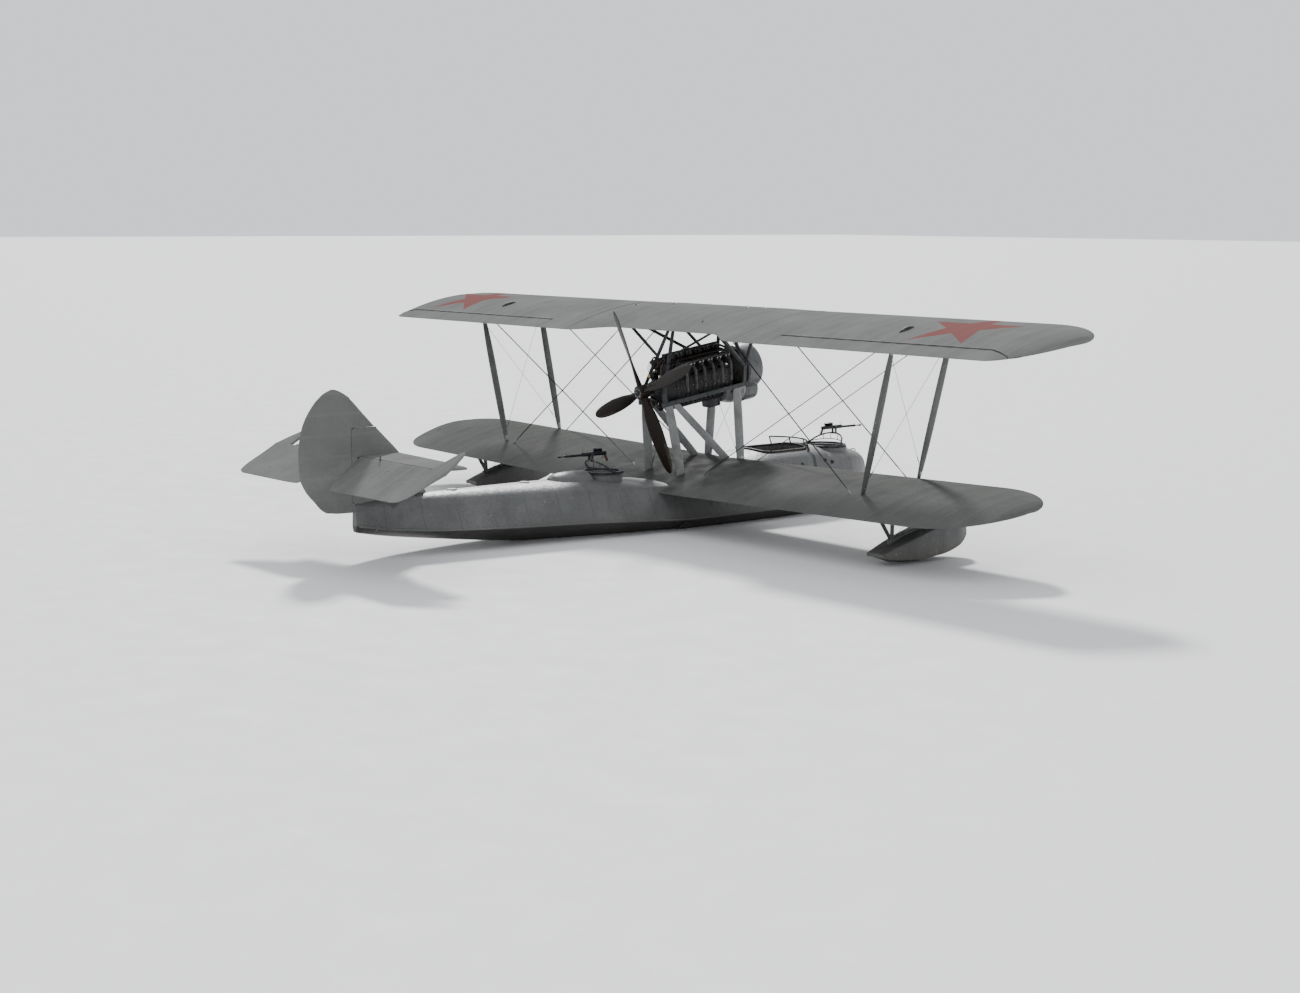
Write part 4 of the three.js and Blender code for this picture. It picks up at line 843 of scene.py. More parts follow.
class Hull(FlyingBoatStep):
    """Lays the hull's planking, with its wells, coamings, keel, strakes and deck fittings"""
    bl_idname = "flying_boat.hull"
    bl_label = "Hull"

    def make(self, sizes, colours, stage):
        plan = rounded(0.86, 1.1, 64, 0.42) + [0, COCKPIT_Y]
        cockpit = shell(np.stack([np.column_stack([plan, np.full(64, height)]) for height in (0.3, 1.6)]))
        rows = (("bow", BOW, -5.24, BOW_END - GAP, 60, drum(NOSE_Y, 0.38, NOSE_WELL)),
                ("centre", CENTRE, BOW_END, CENTRE_END - GAP, 110, cockpit),
                ("aft", AFT, CENTRE_END, 6.04, 110, drum(DORSAL_Y, 0.36, DORSAL_WELL)))
        rims = {"bow": ("nose", NOSE_Y, 0.86, 1.11, NOSE_WELL, 0.44),
                "aft": ("dorsal", DORSAL_Y, 0.8, 1.0, DORSAL_WELL, 0.345)}
        for name, table, start, end, count, well in rows:
            planks = shell(hull_grid(table, np.linspace(start, end, count)))
            carve(piece(f"{name}_planking", "boat", [("topsides", [planks])],
                        (f"hull_{name}",)), well)
            if name in rims:
                place, *rim = rims[name]
                piece(f"{place}_coaming", "boat", [("topsides", [coaming(*rim)])])
        y = np.linspace(1.495, 2.235, 30)
        half, top = through([(1.495, 0.31, 1.066), (1.76, 0.315, 1.078), (2.0, 0.29, 1.066),
                             (2.15, 0.225, 1.035), (2.235, 0.12, 0.985)], y).T[:, :, None]
        turn = np.linspace(0, np.pi, 33)[None]
        cover = sections(half * np.cos(turn), y, 0.8 + (top - 0.8) * np.sin(turn))
        piece("dorsal_fairing", "boat", [("topsides", [shell(cover)])])
        fore = [*BOW[:-1], *CENTRE[:7]]
        fore_y = np.concatenate([np.linspace(-5.24, -4.5, 26)[:-1], np.linspace(-4.5, 0.0, 70)])
        after = [(GAP, -0.255, 0.98, 0.205, 0, 0, 0), CENTRE[7], *AFT[1:]]
        for name, table, places in (("fore", fore, fore_y), ("aft", after, np.linspace(GAP, 6.04, 90))):
            piece(f"{name}_bottom_planking", "boat",
                  [("bottom", [shell(bottom_grid(table, places))])],
                  (f"planing_bottom_{name}",))
        strips = []
        for table, start, end in ((BOW, -5.2, BOW_END), (CENTRE, BOW_END, CENTRE_END),
                                  (AFT, CENTRE_END, 6.0)):
            y = np.linspace(start, end, 50)
            _, chine_x, chine_z, shoulder_x, shoulder_z, _ = through(table, y).T
            strips.append(sweep(np.column_stack([chine_x + 0.002, y, chine_z + 0.004]),
                                rounded(sizes.strake, 0.02, 16)))
            strips.append(sweep(np.column_stack([shoulder_x + 0.001, y, shoulder_z - 0.02]),
                                rounded(0.026, 0.010)))
        piece("chine_strakes", "boat", [("topsides", strips + mirrored(strips))])
        shoes = []
        for table, start, end, count, drop, width in ((after, 0.02, 6.0, 50, 0.004, 0.014),
                                                      (fore, -5.225, -3.05, 40, 0.003, 0.010)):
            y = np.linspace(start, end, count)
            path = np.column_stack([np.zeros(count), y, through(table, y)[:, 0] - drop])
            shoes.append(sweep(path, rounded(width, 0.05)))
        piece("keel_shoe", "boat", [("steel", shoes)])
        self.fittings()

    def fittings(self):
        """Cleats, fastenings, grips, a dark band and caps that stand on the planking."""
        metal, pairs, caps, nails = [], [], [], []
        # A thin dark band over the topside and deck at y -3.3, copied to both sides.
        band_y = -3.3
        rise, turn = np.linspace(0.3, 1, 12), np.linspace(0.04, 0.75, 8)
        _, chine_x, chine_z, shoulder_x, shoulder_z, crown_z = hull_section(band_y)
        across = np.concatenate([chine_x + (shoulder_x - chine_x) * rise, shoulder_x * np.cos(turn)])
        up = np.concatenate([chine_z + (shoulder_z - chine_z) * rise,
                             shoulder_z + (crown_z - shoulder_z) * np.sin(turn)])
        dark_band = [sweep(np.column_stack([across, np.full(20, band_y), up]), rounded(0.085, 0.006), ASTERN)]
        for y in (-2.97, -2.75):
            arch = ((0.66, -0.01), (0.68, 0.024), (0.8, 0.03), (0.92, 0.024), (0.94, -0.01))
            pairs.append(tube([side_point(y, share, out) for share, out in arch], 0.011, 10, 30, ASTERN))
        for y in (-4.86, 4.9):
            top = hull_section(y)[5]
            horns = ((-0.075, -0.03), (-0.05, 0.014), (0, 0.018), (0.05, 0.014), (0.075, -0.03))
            for way in (-1, 1):
                metal.append(tube([(0.11 * way, y + along, top + rise) for along, rise in horns], 0.008, 10))
        for y, share in ((-3.775, 0.93), (-3.585, 0.97)):
            pairs.append(on_side([(0, 0.034), (0.012, 0.03), (0.02, 0.014), (0.034, 0.022), (0.04, 0.012)],
                                 y, share, sides=20))
        for y in (2.75, 4.2):
            top = (0, y, hull_section(y)[5])
            caps.append(lathe([(-0.03, 0.085), (0.008, 0.085), (0.014, 0.078), (0.014, 0.03)], top, UPRIGHT,
                              40))
        nail = [(0, 0.006), (0.0035, 0.005)]
        for y in np.arange(-4.9, 5.6, 0.155):
            nails.append(on_side(nail, y, 0.045, -0.001))
            if y > -3.5:
                nails.append(on_side(nail, y, 0.93, -0.001))
        piece("deck_fittings", "boat", [
            ("dark_fitting", metal + pairs + mirrored(pairs)), ("brass", nails + mirrored(nails)),
            ("topsides", caps), ("cabane_paint", dark_band + mirrored(dark_band))])


# ---- Wings and tail ----

def wing_place(wing, x, along, height):
    """A point of a wing, from its places across the span, along the chord and off the chord line."""
    c, s = math.cos(INCIDENCE), math.sin(INCIDENCE)
    height = height + (np.abs(x) - STRUT_FOOT_X) * wing["rise"]
    return np.stack([x, wing["y"] + c * along + s * height, wing["z"] - s * along + c * height], -1)


def section_height(share, thick, way):
    """Height over the chord line: square root and powers for the thickness, a parabola for the camber."""
    t = np.clip(share, 0, 1)
    half = 0.2969 * np.sqrt(t) - 0.126 * t - 0.3516 * t ** 2 + 0.2843 * t ** 3 - 0.1015 * t ** 4
    return 0.28 * thick * 4 * t * (1 - t) + way * (5 * thick * half + 0.002)


def cut_out(x):
    """How far the middle of the upper wing's back edge is cut away over the propeller."""
    t = np.clip((np.abs(x) - 1.3) / 0.9, 0, 1)
    return 0.436 * (1 - t * t * (3 - 2 * t))


def tip(x, start, half, depth):
    """How far a rounded wing tip's edge is drawn in: a quarter ellipse from its start to the half span."""
    t = np.clip((x - start) / (half - start), 0, 1)
    return depth * (1 - np.sqrt(1 - t * t))


def planform(wing, x):
    """Front and back of the wing along its chord, and its thickness there."""
    if wing is UPPER:
        front = tip(x, 7.3, 8.33, 0.9)
        back = wing["chord"] - cut_out(x) - tip(x, 7.7, 8.33, wing["chord"] - 0.9)
        full = wing["chord"] - cut_out(x)
    else:
        front, back = tip(x, 6.6, 7.8, 0.95), wing["chord"] - tip(x, 6.6, 7.8, wing["chord"] - 0.95)
        full = wing["chord"]
    return front, back, wing["thick"] * ((back - front) / full) ** 0.8


def wing_height(wing, x, along, way, sag, pitch):
    """Surface height at a place, with the fabric sunk between ribs behind the stiff leading edge."""
    front, back, thick = planform(wing, x)
    share = (along - front) / (back - front)
    slack = np.clip((share - 0.1) / 0.08, 0, 1) * np.clip((1 - share) / 0.12, 0, 1)
    dip = sag * slack * np.sin(np.pi * x / pitch) ** 2
    return section_height(share, thick, way) - way * dip


def spanwise(start, end, pitch, steps=6):
    """Stations along the span: steps to each bay, and crowded towards the end."""
    inner = np.arange(math.ceil(start / pitch * steps),
                      math.floor((end - 0.7) / pitch * steps)) * pitch / steps
    outer = end - 0.7 + 0.7 * np.sin(np.linspace(0, np.pi / 2, 26)) * 0.995
    return np.unique(np.concatenate([[start], inner[inner > start], outer]))


def there_and_back(along, over, under):
    """Once round each section: back over the top and forward again underneath."""
    return np.hstack([along, along[:, :0:-1]]), np.hstack([over, under[:, :0:-1]])


def wing_shell(wing, x, limit, sizes, sign=1, count=34, crowd=1.25):
    """One wing panel over span stations x (from the middle outwards), from its front to its limit."""
    x = x[:, None]
    front, back, _ = planform(wing, x)
    rear = np.minimum(limit(x), back)
    share = 0.5 - 0.5 * np.cos(np.linspace(0, np.pi, count))[None]
    along = front + (rear - front) * share ** crowd
    over, under = (wing_height(wing, x, along, way, sizes.rib_sag, sizes.rib_pitch) for way in (1, -1))
    along, height = there_and_back(along, over, under)
    return shell(wing_place(wing, np.broadcast_to(sign * x, along.shape), along, height))


def whole_chord(x):
    """A limit that lies behind the wing's back edge."""
    return np.full_like(x, 9.0)


def aileron_cut(x):
    """Where the upper wing ends ahead of the aileron."""
    stop = AILERON_HINGE - AILERON_NOSE - 0.008
    slope = (AILERON_SLANT - stop) / (AILERON_END - AILERON_CORNER)
    slanted = stop + np.clip(x - AILERON_CORNER, 0, None) * slope
    return np.where((x < AILERON_X) | (x > AILERON_END), whole_chord(x), slanted)


def on_upper(x, along, way=1, proud=0.0):
    """Points on the upper wing's skin, over or under it, stood off by a little."""
    x, along = np.broadcast_arrays(np.asarray(x, float), np.asarray(along, float))
    return wing_place(UPPER, x, along, wing_height(UPPER, np.abs(x), along, way, 0, 1) + way * proud)


def tail_section(share, thick, back_thick):
    """Half thickness of a tail surface: a parabola-like nose, then a straight taper to its back."""
    nose = np.sqrt(np.clip(share / 0.35, 0, 1)) * (1.5 - 0.5 * np.clip(share / 0.35, 0, 1)) * thick / 2
    return nose + np.clip((share - 0.35) / 0.65, 0, 1) * (back_thick - thick) / 2


def tail_shell(span, front, back, thick, back_thick, place, sizes, nose_round=None):
    """A tail surface: span stations, its edges and thickness at each, and a function to the boat's frame."""
    span, front, back = span[:, None], np.reshape(front, (-1, 1)), np.reshape(back, (-1, 1))
    share = 0.5 - 0.5 * np.cos(np.linspace(0, np.pi, 26))[None]
    along = front + (back - front) * share
    half = nose_round(span, along) if nose_round else tail_section(share, np.reshape(thick, (-1, 1)),
                                                                   np.reshape(back_thick, (-1, 1)))
    slack = np.clip(share / 0.2, 0, 1) * np.clip((1 - share) / 0.2, 0, 1)
    half = np.maximum(half - 0.5 * sizes.rib_sag * slack * np.sin(np.pi * span / sizes.rib_pitch) ** 2, 0.002)
    along = np.hstack([along, along[:, ::-1]])
    off = np.hstack([half, -half[:, ::-1]])
    return shell(place(np.broadcast_to(span, along.shape), along, off))


class Wings(FlyingBoatStep):
    """Covers the wings and ailerons with fabric over their ribs"""
    bl_idname = "flying_boat.wings"
    bl_label = "Wings"

    def make(self, sizes, colours, stage):
        middle = np.linspace(-CENTRE_HALF, CENTRE_HALF, 97)
        centre = wing_shell(UPPER, middle, whole_chord, sizes, count=40, crowd=1)
        piece("upper_centre_fabric", "boat", [("fabric", [centre])], ("upper_wing_centre",))
        for side, sign in SIDES:
            extra = [AILERON_X - 1e-4, AILERON_X, AILERON_CORNER, 8.04, 8.05, 8.06]
            stations = np.unique(np.concatenate([spanwise(CENTRE_HALF + 0.0015, UPPER["half"],
                                                          sizes.rib_pitch), extra]))
            covers = ((f"upper_fabric_{side}", "boat", f"fabric_star_{side}", f"upper_wing_{side}",
                       wing_shell(UPPER, stations, aileron_cut, sizes, sign)),
                      (f"aileron_fabric_{side}", f"aileron_{side}", "fabric", f"aileron_{side}",
                       self.aileron(sizes, sign)),
                      # The lower panels take the darker fabric: painted shade under the upper wing, with dirt
                      # and painted shade near the hull.
                      (f"lower_fabric_{side}", "boat", "fabric_trodden", f"lower_wing_{side}",
                       wing_shell(LOWER, spanwise(GAP / 2, LOWER["half"], sizes.rib_pitch), whole_chord,
                                  sizes, sign)))
            for name, body, name_of_finish, node, panel in covers:
                piece(name, body, [(name_of_finish, [panel])], (node,))
        self.details()

    def aileron(self, sizes, sign):
        """The flap behind the hinge with its round nose: half a circle ahead of the hinge line."""
        corner, start, end = AILERON_CORNER - 0.012, 3.108, 8.026
        nose_end = corner - 0.013
        ribs = np.arange(57, 137) * sizes.rib_pitch / 6
        x = np.unique(np.concatenate([[start, nose_end, corner - 0.0129, corner], ribs,
                                      np.linspace(corner, end, 14)]))
        x = x[(x >= start) & (x <= end)][:, None]
        _, back, _ = planform(UPPER, x)
        slope = (AILERON_SLANT - AILERON_HINGE) / (AILERON_END - AILERON_CORNER)
        front = np.minimum(AILERON_HINGE + np.clip(x - corner, 0, None) * slope, back - 0.004)
        share = (0.5 - 0.5 * np.cos(np.linspace(0, np.pi, 16)))[None]
        along = front + (back - front) * share
        over, under = (wing_height(UPPER, x, along, way, sizes.rib_sag, sizes.rib_pitch) for way in (1, -1))
        mid, radius = (over[:, :1] + under[:, :1]) / 2, (over[:, :1] - under[:, :1]) / 2
        turn = np.linspace(-np.pi / 2, -3 * np.pi / 2, 11)[None, 1:-1]
        bulge = np.where(x <= nose_end, radius, 0.0005)
        nose_along, nose_height = front + bulge * np.cos(turn), mid + radius * np.sin(turn)
        along = np.hstack([along, along[:, ::-1], nose_along])
        height = np.hstack([over, under[:, ::-1], nose_height])
        return shell(wing_place(UPPER, np.broadcast_to(sign * x, along.shape), along, height))

    def details(self):
        """Lifting eyes on the upper wing, aileron seals, a fairing over each aileron's crank, hinge brackets
        and joint strips. A fairing is a half ellipse across, drawn to nothing at both ends."""
        eyes, seals, brackets, strips = [], [], [], []
        ceiling, crank_x = 3.784, 5.32
        for x, along in ((2.0, 0.88), (1.26, 0.58), (-0.62, 1.54), (-0.68, 0.56), (-1.12, 0.54)):
            top = on_upper(x, along)
            arc = np.linspace(0, np.pi, 12)
            height = np.minimum(top[2] - 0.012 + 0.024 * np.sin(arc), ceiling)
            loop = np.column_stack([np.full(12, top[0]), top[1] + 0.04 * np.cos(arc), height])
            eyes += [sweep(loop, circle(0.007, 8), ACROSS),
                     lathe([(-0.01, 0.045), (0.003, 0.043)], top, (0, 0.15, 1), 20)]
        for _, sign in SIDES:
            x = np.concatenate([np.linspace(AILERON_X + 0.004, AILERON_CORNER, 60),
                                np.linspace(AILERON_CORNER + 0.02, 8.12, 12)])
            along = np.minimum(aileron_cut(x) - 0.012, planform(UPPER, x)[1] - 0.01)
            for way in (1, -1):
                seals.append(sweep(on_upper(sign * x, along, way, 0.001), rounded(0.022, 0.003), ASTERN))
            along = np.linspace(1.25, 1.59, 24)
            half = 0.034 * np.sin(np.linspace(0.08, np.pi - 0.08, 24))[:, None] ** 0.7
            turn = turns(20)[None]
            base = wing_height(UPPER, np.full(24, crank_x), along, 1, 0, 1)[:, None]
            seals.append(shell(wing_place(UPPER, sign * crank_x + half * np.cos(turn),
                                          np.broadcast_to(along[:, None], (24, 20)),
                                          base + 1.3 * half * np.sin(turn))))
        for _, sign in SIDES:
            for x in (3.35, 4.5, 5.9, 7.1):
                a, b = on_upper(sign * x, 1.98, -1, 0.002), on_upper(sign * x, 2.045, -1, 0.003)
                brackets.append(sweep(np.stack([a - [0, 0.05, 0], a, (a + b) / 2]), rounded(0.006, 0.05)))
        for _, sign in SIDES:
            for way in (1, -1):
                joint = on_upper(np.full(60, sign * CENTRE_HALF), np.linspace(0.01, 2.38, 60), way, 0.0012)
                strips.append(sweep(joint, rounded(0.003, 0.05)))
        piece("wing_fittings", "boat",
              [("dark_fitting", eyes + seals + brackets), ("fabric", strips)])


class Tail(FlyingBoatStep):
    """Covers the fin, rudder, tailplane and elevators"""
    bl_idname = "flying_boat.tail"
    bl_label = "Tail"

    def make(self, sizes, colours, stage):
        upright = lambda z, y, x: np.stack([x, y, z], -1)
        level = lambda x, y, z: np.stack([x, y, ELEVATOR_Z + z], -1)
        z = np.linspace(0.88, 2.07, 60)
        front, thick = through([(0.88, 4.64, 0.08), (1.57, 5.14, 0.076), (2.055, 5.62, 0.062)], z).T
        fin = tail_shell(z, front, np.full(60, 6.057), thick, np.full(60, 0.07), upright, sizes)
        seal = np.column_stack([np.full(40, 0.0372), np.full(40, 6.066), np.linspace(0.9, 2.06, 40)])
        seals = [sweep(seal, rounded(0.044, 0.002), ASTERN)]
        piece("fin_fabric", "boat", [("fabric_upright", [fin] + seals + mirrored(seals))],
              ("fin",))
        z = np.concatenate([np.linspace(0.745, RUDDER_HORN_Z - 1e-4, 60),
                            np.linspace(RUDDER_HORN_Z, 2.69, 40)])
        back = through([(0.745, 6.33), (0.76, 6.52), (0.97, 6.76), (1.14, 6.905), (1.36, 7.0), (1.72, 7.02),
                        (2.1, 6.955), (2.3, 6.865), (2.48, 6.735), (2.56, 6.655), (2.64, 6.55),
                        (2.69, 6.43)], z)[:, 0]
        horn_edge = [(RUDDER_HORN_Z, 5.655), (2.3, 5.87), (2.56, 6.13), (2.68, 6.33), (2.69, 6.37)]
        lead = through(horn_edge, z)[:, 0]
        front = np.where(z < RUDDER_HORN_Z, 6.065, lead)

        def rudder_half(z, y):
            abaft = np.clip(y, RUDDER_Y, None) - RUDDER_Y
            blade = 0.035 + abaft / (back[:, None] - RUDDER_Y) * (0.006 - 0.035)
            post = np.sqrt(np.clip(0.035 ** 2 - (RUDDER_Y - np.clip(y, None, RUDDER_Y)) ** 2, 0, None))
            reach = np.clip((y - front[:, None]) / 0.25, 0, 1)
            horn = 0.031 * np.sqrt(reach) * (1.5 - 0.5 * reach)
            half = np.where(y >= RUDDER_Y, blade, np.where(z < RUDDER_HORN_Z, post, horn))
            return half * np.clip((2.72 - z) / 0.16, 0.3, 1)
        rudder = tail_shell(z, front, back, 0, 0, upright, sizes, rudder_half)
        piece("rudder_fabric", "rudder", [("fabric_upright", [rudder])], ("rudder",))
        x = np.concatenate([np.linspace(0, 1.95, 36), np.linspace(1.96, 2.18, 14)])
        front, rear, thick, back_thick = through([(0, 5.12, 5.942, 0.086, 0.06),
                                                  (1.3, 5.225, 5.942, 0.08, 0.06),
                                                  (1.95, 5.31, 5.942, 0.07, 0.06),
                                                  (2.08, 5.335, 5.85, 0.066, 0.046),
                                                  (2.18, 5.385, 5.45, 0.036, 0.024)], x).T
        both = lambda column: np.concatenate([column[:0:-1], column])
        span = np.concatenate([-x[:0:-1], x])
        plane = tail_shell(span, both(front), both(rear), both(thick), both(back_thick), level, sizes)
        piece("tailplane_fabric", "boat", [("fabric", [plane])], ("tailplane",))
        c, s = math.cos(DROOP), math.sin(DROOP)
        for side, sign in SIDES:
            x = np.concatenate([np.linspace(0.11, 0.55, 14), np.linspace(0.6, 2.1, 30),
                                np.linspace(2.11, 2.5, 22)])
            back = through([(0.11, 0.06), (0.29, 0.47), (0.43, 0.79), (0.52, 0.88), (0.9, 0.895),
                            (2.2, 0.89), (2.35, 0.85), (2.44, 0.72), (2.49, 0.48), (2.5, 0.3)], x)[:, 0]
            horn = through([(2.11, -0.13), (2.15, -0.29), (2.215, -0.58), (2.28, -0.545), (2.4, -0.33),
                            (2.485, -0.12), (2.5, 0.02)], x)[:, 0]
            front = np.where(x < 2.105, -0.03, horn)

            def flap_half(x, y):
                blade = 0.03 + np.clip(y, 0, None) / back[:, None] * (0.006 - 0.03)
                post = np.sqrt(np.clip(0.03 ** 2 - np.clip(y, None, 0) ** 2, 0, None))
                ahead = 0.021 * np.sqrt(np.clip((y - front[:, None]) / 0.07, 0.02, 1)) + 0.003
                return np.where(y >= 0, blade, np.where(x < 2.105, post, ahead))

            def drooped(x, y, z):
                return np.stack([sign * x, ELEVATOR_Y + c * y + s * z, ELEVATOR_Z - s * y + c * z], -1)
            shells = [tail_shell(x, front, back, 0, 0, drooped, sizes, flap_half)]
            parts = [("fabric", shells)]
            if side == "port":
                parts.append(("steel", [tube([(-0.1097, ELEVATOR_Y, ELEVATOR_Z),
                                              (0.14, ELEVATOR_Y, ELEVATOR_Z)], 0.018, 20)]))
            horns = [sweep([(sign * 0.72, ELEVATOR_Y + 0.02, ELEVATOR_Z - 0.02 + way * 0.015),
                            (sign * 0.72, ELEVATOR_Y + 0.02, ELEVATOR_Z + way * 0.12)],
                           rounded(0.034, 0.005), ASTERN, [1.4, 0.5]) for way in (1, -1)]
            parts.append(("strut_enamel", horns))
            piece(f"elevator_fabric_{side}", "elevators", parts, (f"elevator_{side}",))


# ---- Struts, wires and floats ----

def in_wing(wing, x, y):
    """A point in the middle of a wing's thickness."""
    along = (y - wing["y"]) / math.cos(INCIDENCE)
    _, back, _ = planform(wing, np.array(abs(x), float))
    share = along / (back if wing is UPPER else wing["chord"])
    height = (section_height(share, wing["thick"], 1) + section_height(share, wing["thick"], -1)) / 2
    return wing_place(wing, np.array(float(x)), np.array(along), height)


def strut(start, end, chord, thick, taper=0.72, guide=ASTERN, sides=24):
    """A streamlined strut, full in its middle and drawn in towards its ends by a power of the distance."""
    start, end = np.asarray(start, float), np.asarray(end, float)
    t = np.linspace(0, 1, 22)
    slim = taper + (1 - taper) * np.clip(1 - np.abs(2 * t - 1) ** 3.2, 0, 1)
    return sweep(start + (end - start) * t[:, None], streamline(chord, thick, sides), guide, slim)


def ferrule(start, end, share, chord, thick, reach=0.07):
    """A metal shoe round a strut at a share of its length."""
    start, end = np.asarray(start, float), np.asarray(end, float)
    place = np.array([-1, -0.94, 0.94, 1])[:, None] * reach / 2
    path = start + (end - start) * share + unit(start, end) * place
    return sweep(path, streamline(chord, thick), ASTERN, [0.94, 1.0, 1.0, 0.94])


def wire(start, end, radius):
    """A wire with a turnbuckle near its lower end: a long body with two narrower eyes."""
    way = unit(start, end)
    buckle = [(0, radius), (0.015, radius * 1.4), (0.03, radius * 2), (0.07, radius * 2.1),
              (0.11, radius * 2), (0.125, radius * 1.4), (0.14, radius)]
    return [tube([start, end], radius, 6), lathe(buckle, start + way * 0.16, way, 10)]


def stay(start, end, chord, thick, rod=0.006):
    """A main wire: a flat drop-shaped blade that rounds off into a threaded rod over its last 0.3 m."""
    length = np.linalg.norm(end - start)
    far = np.array([0, 0.2, 0.24, 0.3, 0.42, 1.5])
    far = np.concatenate([far, np.linspace(1.5, length - 1.5, 4)[1:-1], length - far[::-1]])
    near = np.clip((np.minimum(far, length - far) - 0.24) / 0.18, 0, 1)
    thin = np.array([rod * 2 / chord, rod * 2 / thick])
    scale = thin + (1 - thin) * near[:, None]
    return sweep(start + (end - start) * (far / length)[:, None], streamline(chord, thick, 14), ASTERN, scale)


class Rigging(FlyingBoatStep):
    """Shapes the struts, and adds their shoes, the lesser wires and the wire ends"""
    bl_idname = "flying_boat.rigging"
    bl_label = "Struts and wires"

    def make(self, sizes, colours, stage):
        small = []
        for side, sign in SIDES:
            pairs = []
            for place, foot_y, top_y in (("front", -1.63, -1.63), ("rear", -0.36, -0.28)):
                foot = in_wing(LOWER, sign * STRUT_FOOT_X, foot_y)
                head = in_wing(UPPER, sign * STRUT_TOP_X, top_y)
                pairs.append((foot, head))
                shoes = [ferrule(foot, head, share, 0.082, 0.04, 0.1) for share in (0.06, 0.945)]
                enamel = [strut(foot, head, 0.155, 0.056, 0.42)]
                enamel += [ferrule(foot, head, share, 0.157, 0.060, 0.016) for share in (0.36, 0.5, 0.64)]
                piece(f"wing_strut_{place}_{side}", "boat",
                      [("strut_enamel", enamel), ("steel", shoes)],
                      (f"interplane_strut_{place}_{side}",))
            for (foot, head), (far_foot, far_head) in (pairs, pairs[::-1]):
                small += wire(foot + (head - foot) * 0.09, far_foot + (far_head - far_foot) * 0.93,
                              sizes.wire)
        self.main_wires()
        piece("incidence_wires", "boat", [("wire_steel", small)])

    def main_wires(self):
        """The flying and landing wires, each with a fork and a lock nut at both ends."""
        rows = {"flying_wire_front": (0.79, -1.652, 5.38, -1.652),
                "landing_wire_front": (4.69, -1.608, 1.33, -1.608),
                "flying_wire_rear": (0.79, -0.382, 5.38, -0.302),
                "landing_wire_rear": (4.69, -0.338, 1.33, -0.47)}
        fork = [(0.1, 0.008), (0.105, 0.011), (0.22, 0.010), (0.225, 0.007)]
        nut = [(0.228, 0.006), (0.228, 0.011), (0.24, 0.011), (0.24, 0.006)]
        for side, sign in SIDES:
            for name, (low_x, low_y, high_x, high_y) in rows.items():
                foot, head = in_wing(LOWER, sign * low_x, low_y), in_wing(UPPER, sign * high_x, high_y)
                way = unit(foot, head)
                ends = []
                for start, sense in ((foot, way), (head, -way)):
                    ends += [lathe(fork, start, sense, 10), lathe(nut, start, sense, 6)]
                piece(f"{name}_blade_{side}", "boat",
                      [("wire_steel", [stay(foot, head, 0.03, 0.011)]), ("steel", ends)], (f"{name}_{side}",))


class Floats(FlyingBoatStep):
    """Planks the wing-tip floats and shapes the struts that carry them"""
    bl_idname = "flying_boat.floats"
    bl_label = "Floats"

    def make(self, sizes, colours, stage):
        table = [(-2.0, 0.035, 0.5, 0.45, 0.42), (-1.9, 0.14, 0.555, 0.35, 0.28),
                 (-1.65, 0.22, 0.575, 0.205, 0.105), (-1.2, 0.255, 0.535, 0.11, 0.01),
                 (-0.75, 0.25, 0.43, 0.08, 0.0), (-0.3, 0.215, 0.3, 0.1, 0.04),
                 (0.04, 0.175, 0.19, 0.155, 0.14)]
        y = np.concatenate([np.linspace(-2.0, -1.6, 24)[:-1], np.linspace(-1.6, 0.04, 50)])
        half, top, chine, keel = through(table, y).T[:, :, None]
        turn = np.linspace(0, np.pi, 17)[None]
        deck_x, deck_z = half * np.cos(turn), top + half * 0.12 * np.sin(turn) ** 0.8
        t = np.linspace(0, 1, 9)[None]
        vee_x, vee_z = half * (1 - t), chine + (keel - chine) * (0.8 * t + 0.2 * t ** 2)
        x = np.hstack([deck_x, -vee_x, vee_x[:, -2::-1]])
        skin = shell(sections(x, y, np.hstack([deck_z, vee_z, vee_z[:, -2::-1]])))
        t = np.linspace(-1.98, 0.03, 50)
        edge_x, _, edge_z, _ = through(table, t).T
        strips = [sweep(np.column_stack([way * (edge_x + 0.001), t, edge_z]), rounded(0.022, 0.008))
                  for way in (1, -1)]
        caps = [lathe([(-0.02, 0.045), (0.006, 0.045), (0.01, 0.038)], (0, *at), (0, -0.1, 1), 24)
                for at in ((-1.5, 0.588), (-0.62, 0.415))]
        for side, sign in SIDES:
            here = sign * FLOAT_X
            shift = lambda p: p + [here, 0, 0]
            piece(f"float_planking_{side}", "boat",
                  [("topsides", turned([skin] + strips, shift)), ("dark_fitting", turned(caps, shift))],
                  (f"float_{side}",))
            legs, shoes, lines = [], [], []
            for foot_y, foot_z, top_y in ((-1.26, 0.58, -1.56), (-0.33, 0.35, -0.13)):
                for out in (-0.21, 0.21):
                    foot, head = np.array([here, foot_y, foot_z]), in_wing(LOWER, here + out, top_y)
                    legs.append(strut(foot, head, 0.08, 0.034, 0.85))
                    shoes.append(ferrule(foot, head, 0.8, 0.075, 0.036, 0.05))
            fore, rear = (here, -1.26, 0.6), (here, -0.33, 0.37)
            for out in (0.21, -0.21):
                for foot, top_y in ((fore, -0.13), (rear, -1.56)):
                    lines.append(tube([foot, in_wing(LOWER, here + out, top_y)], sizes.wire, 6))
            rail = sweep([(here, -1.32, 0.5725), (here, -0.25, 0.3255)], rounded(0.115, 0.048, 20, 0.4))
            piece(f"float_legs_{side}", "boat",
                  [("strut_enamel", legs + [rail]), ("steel", shoes), ("wire_steel", lines)],
                  (f"float_struts_{side}",))


# ---- Engine, its frames and the propeller ----

